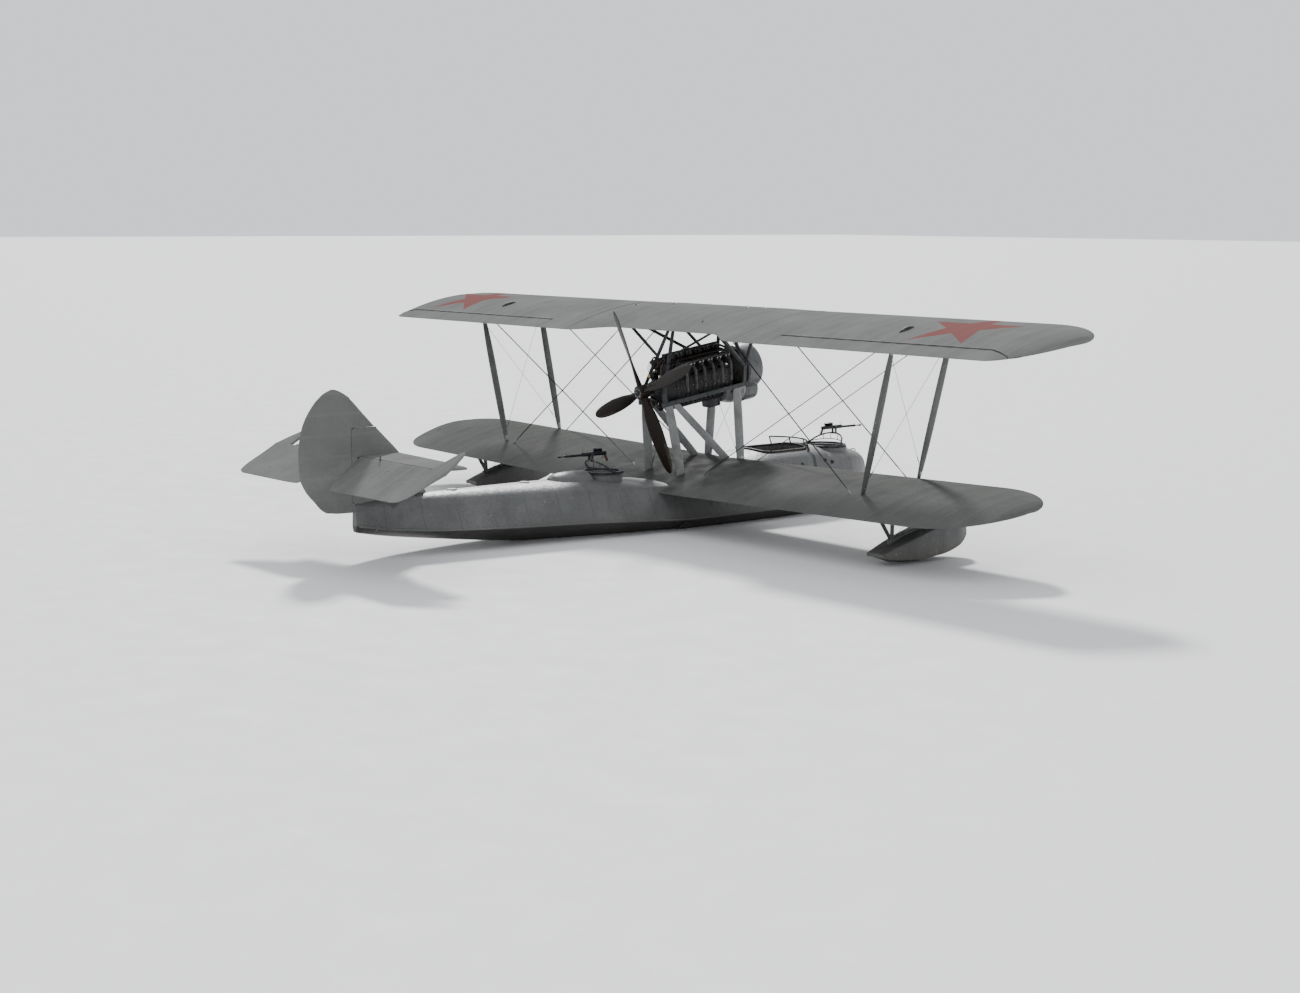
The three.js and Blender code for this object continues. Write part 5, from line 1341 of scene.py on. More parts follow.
class EngineFrames(FlyingBoatStep):
    """Shapes the struts under and over the engine and the tail's struts"""
    bl_idname = "flying_boat.engine_frames"
    bl_label = "Engine frames"

    def make(self, sizes, colours, stage):
        for side, sign in SIDES:
            beam_x, foot_x = sign * BEAM_X, sign * FRAME_FOOT_X
            ends = [(beam_x, BEAM_FRONT, -BEAM_DROP), (beam_x, -0.17, -BEAM_DROP)]
            beam = sweep(on_thrust(ends), rounded(0.08, 0.06, 24, 0.25))
            legs, shoes, bolts = [], [], []
            for foot_y, foot_z, head_y, chord, thick in ((-1.7, 0.96, -1.9, 0.2, 0.058),
                                                         (-0.33, 0.76, -0.3, 0.2, 0.058),
                                                         (-1.56, 0.93, -0.43, 0.15, 0.05)):
                foot, top = (foot_x, foot_y, foot_z), on_thrust((beam_x, head_y, -BEAM_DROP))
                legs.append(strut(foot, top, chord, thick, 0.8))
                shoes.append(ferrule(foot, top, 0.1, chord * 0.85, thick * 0.94, 0.05))
            for along in (-2.1, -1.9, -1.78, -1.2, -0.62, -0.45, -0.3):
                for up in (-0.02, 0.02):
                    at = on_thrust((beam_x + sign * 0.029, along, -BEAM_DROP + up))
                    bolts += bolt(at, (sign, 0, 0), 0.008, 0.008)
            piece(f"engine_bearer_{side}", "boat",
                  [("frame_paint", legs), ("cabane_paint", [beam]), ("dark_fitting", bolts),
                   ("steel", shoes)],
                  (f"engine_frame_{side}",))
        rows = {"front": (-2.085, 0.382, 0.09, [(0.07, -1.64, 0), (1.2, -1.4, 0), (1.02, -0.52, 0)]),
                "rear": (-0.24, 0.3, -0.06, [(0.048, -0.45, 0), (1.2, -0.45, 0.55)])}
        for place, (along, head_x, head_z, arms) in rows.items():
            for side, sign in SIDES:
                low, high, head = on_thrust([(sign * BEAM_X, along, -BEAM_DROP + 0.04),
                                             (sign * head_x, along, head_z),
                                             (sign * head_x, along, head_z - 0.02)])
                first = in_wing(UPPER, sign * arms[0][0], arms[0][1])
                bars, joints = [sweep(np.stack([low, high]), rounded(0.08, 0.052, 20, 0.35), ASTERN)], []
                for x, y, share in arms:
                    start, end = head + (first - head) * share, in_wing(UPPER, sign * x, y)
                    bars.append(strut(start, end, 0.08, 0.036, 0.8))
                    joints.append(ferrule(start, end, 0.12, 0.074, 0.040, 0.05))
                piece(f"cabane_{place}_{side}", "boat",
                      [("cabane_paint", bars), ("dark_fitting", joints)],
                      (f"cabane_strut_{place}_{side}",))
        for side, sign in SIDES:
            foot = (sign * 0.19, 5.42, 0.8)
            heads = [(sign * 1.45, y, 1.59) for y in (5.48, 5.84)]
            arms = [strut(foot, head, 0.08, 0.032, 0.75) for head in heads]
            shoes = [ferrule(foot, head, 0.95, 0.07, 0.034, 0.05) for head in heads]
            piece(f"tail_stays_{side}", "boat",
                  [("strut_enamel", arms), ("dark_fitting", shoes)],
                  (f"tail_struts_{side}",))
        lines = []
        flip = np.array([-1, 1, 1])
        for foot, head in (((0.44, -1.69, 1.05), (0.32, -1.9, -0.3)),
                           ((0.44, -0.34, 0.9), (0.32, -0.3, -0.3))):
            foot, head = np.array(foot), on_thrust(head)
            lines += wire(foot, head * flip, sizes.wire) + wire(foot * flip, head, sizes.wire)
        piece("engine_bay_wires", "boat", [("wire_steel", lines)])


BANKS = (("centre", 0.0), ("port", BANK_ANGLE), ("starboard", -BANK_ANGLE))


class Engine(FlyingBoatStep):
    """Builds the three banks of cylinders, the crankcase, pipes, magnetos and cowling"""
    bl_idname = "flying_boat.engine"
    bl_label = "Engine"

    def make(self, sizes, colours, stage):
        self.crankcase()
        for name, angle in BANKS:
            self.bank(name, angle)
        self.pipes()
        self.cowling()

    def crankcase(self):
        """Rounded eight-sided sections drawn along the thrust line, with flanges and bolts."""
        table = [(-2.01, 0.15, 0.11, -0.22), (-1.9, 0.2, 0.15, -0.43), (-0.62, 0.2, 0.15, -0.43),
                 (-0.33, 0.17, 0.13, -0.23), (-0.19, 0.11, 0.105, -0.11)]
        y = np.concatenate([np.linspace(-2.01, -1.9, 8)[:-1], np.linspace(-1.9, -0.62, 20)[:-1],
                            np.linspace(-0.62, -0.19, 20)])
        half, top, low = through(table, y).T[:, :, None]
        ring = rounded(1, 1, 40, 0.55)[None] * 2
        z = np.where(ring[..., 1] > 0, ring[..., 1] * top, -ring[..., 1] * low)
        body = [shell(sections(ring[..., 0] * half, y, z)),
                lathe([(-0.26, 0.072), (-0.2, 0.085), (-0.19, 0.072), (-0.095, 0.07)], ORIGIN, ASTERN, 32)]
        body.append(lathe([(-0.31, 0.15), (-0.29, 0.155), (-0.27, 0.12)], ORIGIN, ASTERN, 40))
        for place in (-1.78, -1.2, -0.62):
            body.append(brick((-0.29, place - 0.045, -0.27), (0.29, place + 0.045, -0.225)))
        flange = brick((-0.212, -1.93, -0.085), (0.212, -0.55, -0.055), 0.12)
        ribs = [brick((-0.205, place - 0.006, -0.36), (0.205, place + 0.006, 0.1), 0.5)
                for place in np.arange(-1.85, -0.6, 0.1025)]
        nuts = []
        for place in np.arange(-1.88, -0.58, 0.068):
            for way in (1, -1):
                nuts += bolt((way * 0.203, place, -0.055), UPRIGHT, 0.007, 0.012)
        tank = [brick((-0.12, -1.68, -0.57), (0.12, -1.4, -0.4), 0.3)]
        tank += [sweep([(-0.123, y, -0.565), (-0.123, y, -0.41)], rounded(0.012, 0.01, 10), ACROSS)
                 for y in (-1.62, -1.46)]
        strainer = [(0, 0.055), (0.03, 0.06), (0.14, 0.06), (0.16, 0.045), (0.18, 0.02)]
        strainers = [lathe(strainer, (way * 0.1, -0.56, -0.33), (0, 0.9, -0.35), 24) for way in (1, -1)]
        parts = thrust_parts(("engine_casting", body + [flange] + ribs + strainers), ("steel", nuts),
                             ("cabane_paint", tank))
        piece("engine_case", "boat", parts, ("crankcase",))

    def bank(self, name, angle):
        """Six jacketed cylinders, turned about the crank's line by the bank's angle."""
        way = -1 if angle < 0 else 1
        lean = lambda p: on_thrust(leaned(p, angle))
        jackets, steel, bright, dark, exhaust, soot, copper = [], [], [], [], [], [], []
        barrel = [(0.17, 0.07), (0.235, 0.07), (0.24, 0.082), (0.262, 0.082), (0.266, 0.07), (0.29, 0.07),
                  (0.3, 0.077), (0.335, 0.077), (0.34, 0.074), (0.37, 0.074), (0.375, 0.077), (0.41, 0.077),
                  (0.415, 0.074), (0.445, 0.074), (0.45, 0.078), (0.478, 0.078), (0.492, 0.068),
                  (0.497, 0.04)]
        for y in CYLINDER_PLACES:
            jackets.append(lathe(barrel, (0, y, 0), UPRIGHT, 32))
            for turn in turns(8) + 0.39:
                steel += bolt((0.077 * math.cos(turn), y + 0.077 * math.sin(turn), 0.262), UPRIGHT, 0.006,
                              0.012)
            spring = [(0.49 + 0.0055 * k, 0.015 if k % 2 else 0.011) for k in range(8)]
            bright += [lathe(spring, (dx, y + dy, 0), UPRIGHT, 12) for dx in (0.035, -0.035)
                       for dy in (0.035, -0.035)]
            for out in (1, -1):
                plug = [(0, 0.013), (0.012, 0.013), (0.014, 0.008), (0.05, 0.008), (0.055, 0.004)]
                dark.append(lathe(plug, (out * 0.073, y + 0.02, 0.455), (out, 0, 0.25), 12))
                lead = [(out * 0.12, y + 0.02, 0.468), (out * 0.135, y + 0.03, 0.44),
                        (out * 0.115, y + 0.05, 0.4)]
                copper.append(tube(lead, 0.004, 6, 10))
            if name != "centre":
                path = [(way * x, y, z) for x, z in ((0.05, 0.468), (0.118, 0.474), (0.178, 0.436),
                                                     (0.262, 0.33), (0.36, 0.195))]
                exhaust.append(tube(path, 0.026, 20, 28, ASTERN))
                exhaust.append(lathe([(0, 0.038), (0.008, 0.04), (0.012, 0.03)], (way * 0.068, y, 0.47),
                                     (way, 0, 0.05), 20))
                # A black disc on the pipe's end: soot, and painted shade of the open bore.
                tip_way = np.array([way * 0.098, 0, -0.135]) / math.hypot(0.098, 0.135)
                soot.append(lathe([(0.0005, 0.023), (0.0012, 0.022)], np.array(path[-1]), tip_way, 20))
            else:
                for out in (1, -1):
                    path = [(out * x, y, z) for x, z in ((0.05, 0.472), (0.098, 0.482), (0.128, 0.52))]
                    exhaust.append(tube(path, 0.022, 16, 18, ASTERN))
                    # A black disc on the pipe's end: soot, and painted shade of the open bore.
                    soot.append(lathe([(0.0005, 0.019), (0.0012, 0.018)], (out * 0.128, y, 0.52),
                                      (out * 0.4, 0, 0.75), 16))
        start, end = CYLINDER_PLACES[-1] - 0.085, CYLINDER_PLACES[0] + 0.085
        half, height = np.array([(0.03, 0.5), (0.034, 0.53), (0.028, 0.552), (0.014, 0.563)]).T
        half, height = np.concatenate([-half, half[::-1]]), np.concatenate([height, height[::-1]])
        wave = np.linspace(start, end, 121)
        bulge = np.cos((wave - CYLINDER_PLACES[0]) / CYLINDER_PITCH * 2 * np.pi)
        swell = 1 + 0.28 * np.clip(bulge, 0, 1) ** 2
        swell[[0, -1]] = 0.7
        jackets.append(shell(sections(half * swell[:, None], wave, height)))
        for y in CYLINDER_PLACES:
            steel += bolt((0, y + CYLINDER_PITCH / 2, 0.562), UPRIGHT, 0.008, 0.002)
        for out in (0.115, -0.115):
            dark.append(tube([(out, start + 0.02, 0.4), (out, end + 0.03, 0.4)], 0.013, 12))
        base = brick((-0.09, start - 0.005, 0.2), (0.09, end + 0.005, 0.236), 0.12)
        profile = [(0.12, 0.03), (0.3, 0.03), (0.31, 0.036), (0.34, 0.036), (0.35, 0.03), (0.5, 0.028),
                   (0.52, 0.045), (0.555, 0.045), (0.562, 0.03)]
        shaft = lathe(profile, (0, end + 0.035, 0), UPRIGHT, 24)
        parts = {"cylinder_jacket": jackets, "engine_casting": [base, shaft], "steel": steel,
                 "bright_metal": bright, "dark_fitting": dark, "exhaust_steel": exhaust, "soot": soot,
                 "copper": copper}
        piece(f"cylinders_{name}", "boat",
              [(kind, turned(shells, lean)) for kind, shells in parts.items()],
              (f"cylinder_bank_{name}",))

    def pipes(self):
        """Inlet pipes between the banks, water pipes to the radiator, magnetos and pumps at the back."""
        inlet, water, magneto, brassy, leads = [], [], [], [], []
        for way in (1, -1):
            between = BANK_ANGLE / 2 * way
            x, _, z = leaned((0, 0, 0.36), between)
            inlet.append(tube([(x, -1.82, z), (x, -0.62, z)], 0.034, 20))
            for y in CYLINDER_PLACES:
                for side, lean in ((0.075, 0.0), (-0.075, 2 * between)):
                    px, _, pz = leaned((side * way, y, 0.44), lean)
                    path = [(x, y, z), ((x + px) / 2, y, (z + pz) / 2 + 0.02), (px, y, pz)]
                    inlet.append(tube(path, 0.02, 12, 14, ASTERN))
            for y in (-1.5, -0.9):
                inlet.append(lathe([(0, 0.04), (0.03, 0.05), (0.09, 0.05), (0.1, 0.036), (0.15, 0.036)],
                                   (x, y, z - 0.11), UPRIGHT, 24))
        for name, angle in BANKS:
            off = {"centre": 0.105, "port": -0.1, "starboard": 0.1}[name]
            path = leaned([(off, -0.68, 0.505), (off, -1.2, 0.508), (off, -1.8, 0.5), (off, -2.05, 0.42),
                           (off, 0, 0.4)], angle)
            path[-1] = 0.6 * path[-1, 0], -2.22, 0.26
            water.append(tube(path, 0.021, 14, 40, (0, 0.1, 1)))
        for way in (1, -1):
            water.append(tube([(way * 0.12, -1.96, -0.33), (way * 0.19, -2.08, -0.4),
                               (way * 0.12, -2.3, -0.45)], 0.03, 16, 24))
            body = [(0, 0.03), (0.01, 0.052), (0.1, 0.055), (0.105, 0.062), (0.13, 0.062), (0.15, 0.045),
                    (0.16, 0.02)]
            magneto.append(lathe(body, (way * 0.15, -0.5, 0.19), (0, 1, 0.12), 28))
            magneto.append(brick((way * 0.15 - 0.05, -0.5, 0.1), (way * 0.15 + 0.05, -0.38, 0.16), 0.35))
            brassy.append(lathe([(0.16, 0.028), (0.17, 0.034), (0.185, 0.034), (0.19, 0.02)],
                                (way * 0.15, -0.5, 0.19), (0, 1, 0.12), 20))
            for number in range(5):
                leads.append(tube([(way * (0.13 + 0.012 * number), -0.36, 0.215),
                                   (way * (0.1 + 0.03 * number), -0.36, 0.31),
                                   (way * (0.12 + 0.035 * number), -0.5, 0.4 + 0.01 * number),
                                   (way * (0.13 + 0.02 * number), -0.62, 0.42)], 0.0045, 6, 20,
                                   (1, 0.2, 0.1)))
        hoop = np.linspace(-0.3, 1.45, 14) * np.pi
        ring = np.column_stack([0.015 + 0 * hoop, -0.37 + 0.075 * np.cos(hoop), 0.44 + 0.1 * np.sin(hoop)])
        water.append(tube([(0.02, -0.52, 0.3), *ring, (0.02, -0.6, 0.5)], 0.015, 12, 60, (1, 0.05, 0.02)))
        water.append(tube([(-0.11, -0.5, 0.05), (-0.16, -0.36, 0.12), (-0.17, -0.34, 0.3),
                           (-0.12, -0.45, 0.43), (-0.06, -0.62, 0.47)], 0.018, 12, 36, (1, 0.05, 0.3)))
        magneto.append(lathe([(0, 0.05), (0.06, 0.055), (0.08, 0.075), (0.12, 0.075), (0.13, 0.04),
                              (0.17, 0.035)], (0.0, -0.33, -0.2), (0, 1, -0.2), 28))
        piece("engine_pipes", "boat", thrust_parts(
            ("engine_casting", inlet + magneto), ("copper", water), ("brass", brassy), ("rubber", leads)))

    def cowling(self):
        """The duct round the radiator: two circles joined by a smooth waist, with a rolled front lip."""
        count = 128
        out_x, out_z = np.sin(turns(count)), np.cos(turns(count))

        def outline(inset):
            """Distance from the barrel's middle to the joined circles' edge, smoothed where they meet."""
            barrel, chin, drop = 0.41 - inset, 0.22 - inset, 0.4
            b = out_z * -drop
            inside = chin ** 2 - (drop ** 2 - b ** 2)
            under = np.where((inside > 0) & (b > 0), b + np.sqrt(np.clip(inside, 0, None)), 0)
            return np.maximum(barrel, under)

        def ring(y, inset):
            """The outline as a ring of points at a place along the thrust line."""
            far = outline(inset)
            return np.column_stack([far * out_x, np.full(count, y), far * out_z])
        lip = [(-2.16, 0.0), (-2.16, 0.004), (-2.47, 0.0), (-2.5, 0.006), (-2.51, 0.018), (-2.502, 0.029),
               (-2.48, 0.032), (-2.16, 0.032)]
        duct = shell(np.stack([ring(y, max(inset, 0.0005)) for y, inset in lip]), "loop")
        bands, screws = [], []
        for y in (-2.2, -2.44):
            path = ring(y, -0.002)
            if y == -2.2:
                bands.append(sweep(path, rounded(0.03, 0.004, 10, 0.6), ASTERN, ends="loop"))
            for number in range(0, count, 5):
                screws.append(lathe([(-0.003, 0.006), (0.003, 0.0045)], path[number],
                                    (out_x[number], 0, out_z[number]), 8))
        piece("radiator_duct", "boat",
              thrust_parts(("cowling", [duct] + bands), ("steel", screws)),
              ("radiator_cowl",))
        core = shell(np.stack([ring(-2.43, 0.06), ring(-2.43, 0.0335), ring(-2.32, 0.0335),
                               ring(-2.32, 0.06)]))
        bars = []
        for x in np.linspace(-0.33, 0.33, 9):
            reach = math.sqrt(max(0.372 ** 2 - x * x, 0)) - 0.005
            low = -reach if abs(x) > 0.17 else -0.4 - math.sqrt(0.182 ** 2 - x * x)
            bars.append(sweep([(x, -2.455, low), (x, -2.455, reach)], rounded(0.04, 0.004, 10), ASTERN))
        piece("radiator_block", "boat",
              thrust_parts(("radiator_matrix", [core]), ("dark_fitting", bars)),
              ("radiator_core",))
        y = np.linspace(BEAM_FRONT, -1.72, 20)
        waist = [(BEAM_FRONT, 0.27, -0.6), (-1.94, 0.265, -0.585), (-1.72, 0.255, -0.52)]
        half, low = through(waist, y).T[:, :, None]
        turn = np.linspace(0, np.pi, 33)[None]
        pan = sections(half * np.cos(turn), y, -0.3 + (low + 0.3) * np.sin(turn))
        slot = rounded(0.02, 0.012, 10, 0.6)
        louvres = [sweep([(way * 0.264, at, -0.42), (way * 0.269, at, -0.34)], slot, ASTERN)
                   for way in (1, -1) for at in np.arange(-2.1, -1.76, 0.05)]
        piece("lower_panel", "boat", thrust_parts(("panel_paint", [shell(pan)] + louvres)),
              ("lower_cowling",))


class Propeller(FlyingBoatStep):
    """Carves the four laminated blades and bolts up the hub"""
    bl_idname = "flying_boat.propeller"
    bl_label = "Propeller"

    def make(self, sizes, colours, stage):
        table = [(0.06, 0.15, 0.096, 62), (0.22, 0.15, 0.084, 52), (0.48, 0.225, 0.056, 38),
                 (0.82, 0.262, 0.038, 27), (1.15, 0.232, 0.024, 21), (1.37, 0.17, 0.016, 19),
                 (1.47, 0.092, 0.01, 18), (1.5, 0.024, 0.007, 18)]
        radius = np.concatenate([np.linspace(0.06, 1.3, sizes.blade_sides), np.linspace(1.32, 1.5, 14)])
        blades, sheaths = [], []
        for number in range(4):
            spin = math.radians(21) + number * math.pi / 2
            blades.append(self.blade(radius, table, spin, turns(28), 0.0))
            edge = np.concatenate([np.linspace(-1.0, 1.0, 15), np.linspace(1.0, -1.0, 15)])
            lift = np.concatenate([np.full(15, 0.0018), np.full(15, -0.001)])
            sheaths.append(self.blade(radius[radius > 0.98], table, spin, edge, lift))
        hub = lathe([(-0.085, 0.06), (-0.085, 0.118), (-0.078, 0.125), (0.078, 0.125), (0.085, 0.118),
                     (0.085, 0.06)], ORIGIN, ASTERN, 48)
        plates = [lathe([(-0.093, 0.04), (-0.093, 0.096), (-0.09, 0.1), (-0.084, 0.1)], ORIGIN, ASTERN, 40),
                  lathe([(0.084, 0.1), (0.094, 0.1), (0.097, 0.096), (0.097, 0.04), (0.11, 0.034),
                         (0.14, 0.034), (0.15, 0.026)], ORIGIN, ASTERN, 40)]
        nuts = []
        for x, z in circle(0.076, 8):
            nuts += bolt((x, 0.097, z), ASTERN, 0.01, 0.014)
        piece("propeller_blades", "propeller", thrust_parts(
            ("propeller_wood", [hub] + blades), ("tip_sheath", sheaths), ("dark_fitting", plates),
            ("steel", nuts)),
            ("propeller",))

    @staticmethod
    def blade(radius, table, spin, turn, lift):
        """Flat-faced sections set at their pitch: chord times the cosine of the turn, thickness times its
        sine, with the after face flattened, then the whole blade turned about the shaft."""
        chord, thick, pitch = through(table, radius).T[:, :, None]
        tilt = np.radians(90 + pitch)
        u = np.cos(turn) * (chord / 2 + lift)
        v = np.sin(turn) * (thick / 2 + lift) * np.where(np.sin(turn) < 0, 0.75, 1.0)
        x, y = u * np.sin(tilt) - v * np.cos(tilt), u * np.cos(tilt) + v * np.sin(tilt)
        return shell(leaned(np.dstack([x, y, np.broadcast_to(radius[:, None], x.shape)]), spin))


# ---- Cockpit and gun stations ----

def cushion(name, lo, hi, body, node, pressure):
    """A seat cushion: a crowned pad of rounded-box points, remeshed, swollen by the cloth solver and
    held within a few millimetres of where it started, then buttoned and piped."""
    lo, hi = np.asarray(lo), np.asarray(hi)
    thing = piece(name, body, [("hide", [brick(lo + 0.006, hi - [0.006, 0.006, 0.010], 0.28)])],
                  (node,), 80)
    shape = thing.modifiers.new("remesh", "REMESH")
    shape.mode, shape.voxel_size = "VOXEL", 0.006
    graph = bpy.context.evaluated_depsgraph_get()
    mesh = bpy.data.meshes.new_from_object(thing.evaluated_get(graph))
    thing.modifiers.clear()
    thing.data = mesh
    rest = np.empty(len(mesh.vertices) * 3)
    mesh.vertices.foreach_get("co", rest)
    rest = rest.reshape(-1, 3)
    cloth = thing.modifiers.new("cloth", "CLOTH")
    cloth.settings.use_pressure = True
    cloth.settings.uniform_pressure_force = pressure
    cloth.settings.effector_weights.gravity = 0
    cloth.settings.quality = 5
    for step in range(1, 21):
        bpy.context.scene.frame_set(step)
    swollen = thing.evaluated_get(bpy.context.evaluated_depsgraph_get()).to_mesh()
    moved = np.empty(len(rest) * 3)
    swollen.vertices.foreach_get("co", moved)
    thing.modifiers.clear()
    bpy.context.scene.frame_set(1)
    shift = moved.reshape(-1, 3) - rest
    far = np.linalg.norm(shift, axis=1)[:, None]
    rest = rest + shift * np.minimum(1, 0.012 / np.maximum(far, 1e-9))
    mid, half = (lo + hi) / 2, (hi - lo) / 2
    share = (rest - mid) / half
    up = np.clip(share[:, 2], 0, 1)
    across, along = 1 - np.clip(np.abs(share[:, :2]), 0, 1).T ** 2.5
    crown = 0.010 * across * along * up
    dimples = [(x, y) for x in (-0.42, 0.42) for y in (-0.42, 0.42)]
    for x, y in dimples:
        crown -= 0.012 * up * np.exp(-((share[:, 0] - x) ** 2 + (share[:, 1] - y) ** 2) / 0.018)
    rest[:, 2] += crown
    rest = np.clip(rest, lo - 0.004, hi + [0.004, 0.004, 0.010])
    rest[:, 2] = np.maximum(rest[:, 2], lo[2])
    thing.data.vertices.foreach_set("co", rest.ravel())
    thing.data.update()
    thing.data.polygons.foreach_set("use_smooth", [True] * len(thing.data.polygons))
    thing.data.materials.clear()
    thing.data.materials.append(bpy.data.materials["hide"])
    piping = []
    for height in (lo[2] + 0.008, hi[2] - 0.008):
        ring = rounded(hi[0] - lo[0] - 0.002, hi[1] - lo[1] - 0.002, 64, 0.3) + mid[:2]
        piping.append(sweep(np.column_stack([ring, np.full(64, height)]), circle(0.0035, 8), ends="loop"))
    buttons = [lathe([(-0.004, 0.010), (0.002, 0.010), (0.005, 0.006)],
                     (mid[0] + x * half[0], mid[1] + y * half[1], hi[2] - 0.004), UPRIGHT, 16)
               for x, y in dimples]
    piece(name + "_piping", body, [("stitching", piping), ("hide", buttons)])


class Cockpit(FlyingBoatStep):
    """Fits out the pilots' cockpit: seats, cushions, wheels, instruments, windscreen and padded edge"""
    bl_idname = "flying_boat.cockpit"
    bl_label = "Cockpit"

    def make(self, sizes, colours, stage):
        for side, sign in SIDES:
            x = sign * SEAT_X
            cushion(f"seat_pad_{side}", (x - 0.15, -2.83, 0.5403), (x + 0.15, -2.455, 0.61), "boat",
                    f"seat_cushion_{side}", sizes.cushion_puff)
            self.seat(side, x)
        self.controls()
        self.panel()
        self.screen()
        self.padded_edge(sizes)
        boards = [brick((-0.42, y, 0.3005), (0.42, y + 0.085, 0.312), 0.15)
                  for y in np.arange(-3.38, -2.38, 0.1)]
        frames = [brick((way * 0.428 - 0.012, y, 0.32), (way * 0.428 + 0.012, y + 0.03, 0.98), 0.2)
                  for way in (1, -1) for y in (-3.2, -2.62)]
        pedals = []
        for x in (-0.3, -0.13, 0.13, 0.3):
            pedals.append(tube([(x, -3.3, 0.315), (x, -3.26, 0.43)], 0.010, 10))
            pedals.append(brick((x - 0.045, -3.275, 0.42), (x + 0.045, -3.255, 0.53), 0.3))
        piece("cockpit_floor", "boat",
              [("bare_boards", boards + frames), ("dark_fitting", pedals)])

    def seat(self, side, x):
        """A bucket of bent plywood: a rounded wall that sweeps round the back and down to the arms."""
        plan = rounded(0.348, 0.43, 80, 0.42)
        outline, inner = plan + [x, SEAT_Y], plan * 0.93 + [x, SEAT_Y]
        low = np.full(80, 0.30 + GAP)
        back = np.clip(plan[:, 1] / 0.215, -1, 1)
        high = (0.6 + 0.30 * np.clip((back - 0.25) / 0.6, 0, 1) ** 1.5
                + 0.05 * np.clip((back + 0.4) / 0.5, 0, 1))
        high -= 0.06 * np.clip(-back - 0.5, 0, 1)
        rings = ((outline, low), (outline, (low + high) / 2), (outline, high), (inner, high),
                 (inner, np.full(80, 0.54)))
        wall = shell(np.stack([np.column_stack(ring) for ring in rings]))
        rim = sweep(np.column_stack([(outline + inner) / 2, high]), circle(0.010, 10), ends="loop")
        belt = [sweep(route([(x + way * 0.16, -2.5, 0.56), (x + way * 0.12, -2.6, 0.632),
                             (x + way * 0.03, -2.68, 0.64)], 16),
                      rounded(0.036, 0.004, 10), ASTERN) for way in (1, -1)]
        buckle = [brick((x - 0.03, -2.705, 0.636), (x + 0.03, -2.655, 0.648), 0.4)]
        piece(f"seat_bucket_{side}", "boat",
              [("mahogany", [wall, rim]), ("hide", belt), ("steel", buckle)], (f"seat_{side}",))

    def controls(self):
        """Two wheels on columns from one cross tube."""
        foot_y, foot_z, wheel_y, wheel_z = -3.08, 0.345, -2.995, 0.84
        tubes = [tube([(-SEAT_X, foot_y, foot_z), (SEAT_X, foot_y, foot_z)], 0.018, 16)]
        wood, bosses = [], []
        tilt = math.pi / 2 - 0.35
        axis = np.array([0, -math.sin(tilt), math.cos(tilt)])
        u, v = np.array([1.0, 0, 0]), np.cross(axis, [1.0, 0, 0])
        turn = turns(48)[:, None]
        for x in (-SEAT_X, SEAT_X):
            middle = np.array([x, wheel_y, wheel_z])
            bosses.append(brick((x - 0.045, -3.125, 0.3003), (x + 0.045, -3.035, 0.36), 0.3))
            tubes.append(tube([(x, foot_y, foot_z), (x, -3.06, 0.6), (x, -3.01, 0.83)], 0.016, 16, 16,
                              ACROSS))
            rim = middle + 0.125 * (np.cos(turn) * u + np.sin(turn) * v)
            wood.append(sweep(rim, circle(0.011, 12), axis, ends="loop"))
            for spoke in turns(4):
                tubes.append(tube([middle, middle + 0.122 * (math.cos(spoke) * u + math.sin(spoke) * v)],
                                  0.007, 10))
            bosses.append(lathe([(-0.02, 0.02), (-0.012, 0.03), (0.012, 0.03), (0.02, 0.02)], middle, axis,
                                24))
        throttle = [brick((-0.03, -3.2, 0.62), (0.03, -3.06, 0.68), 0.35)]
        levers = [tube([(dx, -3.13, 0.67), (dx, -3.11, 0.79)], 0.005, 8) for dx in (-0.014, 0.014)]
        knobs = [lathe([(0, 0.006), (0.006, 0.013), (0.018, 0.013), (0.024, 0.006)], (dx, -3.11, 0.785),
                       (0, 0.2, 1), 16) for dx in (-0.014, 0.014)]
        stand = [brick((-0.02, -3.16, 0.3005), (0.02, -3.1, 0.63), 0.3)]
        piece("control_wheels", "boat",
              [("cabane_paint", tubes + bosses + stand), ("mahogany", wood + knobs),
               ("brass", throttle + levers)],
              ("control_columns",))

    def panel(self):
        """A board with round dials: a bezel, a dark face and a few bare strokes on each."""
        board = brick((-0.27, -3.3997, 0.9), (0.27, -3.37, 1.1), 0.12)
        bezels, faces, strokes, switches = [], [], [], []
        dials = [(x, 1.03, 0.046) for x in (-0.2, -0.09, 0.02, 0.13)] + [(0.215, 1.045, 0.03)]
        dials += [(x, 0.94, 0.03) for x in (-0.15, -0.06, 0.06, 0.15)]
        for x, z, r in dials:
            at = (x, -3.371, z)
            bezel = [(0, r), (0.012, r), (0.016, r * 0.95), (0.016, r * 0.86), (0.006, r * 0.84),
                     (0, r * 0.84)]
            bezels.append(lathe(bezel, at, ASTERN, 32, "loop"))
            faces.append(lathe([(-0.002, r * 0.85), (0.004, r * 0.85)], at, ASTERN, 32))
            for a in np.linspace(-2.2, 2.2, 9):
                stroke = [(x + far * math.sin(a), -3.3663, z + far * math.cos(a))
                          for far in (r * 0.62, r * 0.78)]
                strokes.append(sweep(stroke, rounded(0.0012, 0.0024, 8, 0.8), ASTERN))
            hand = [(x, -3.366, z), (x - r * 0.35, -3.366, z + r * 0.5)]
            strokes.append(sweep(hand, rounded(0.0012, 0.003, 8, 0.8), ASTERN, [1.0, 0.4]))
        for x in (-0.23, 0.23):
            switches.append(tube([(x, -3.37, 0.93), (x, -3.345, 0.945)], 0.005, 8))
        piece("instrument_board", "boat", [
            ("mahogany", [board]), ("brass", bezels + switches), ("dial_face", faces),
            ("dial_mark", strokes)],
            ("instrument_panel",))

    def screen(self):
        """A raked curved pane in a metal frame: an arc whose middle moves aft as it rises."""
        half_angle, middle, frame_y = 0.9, 0.638, -2.91

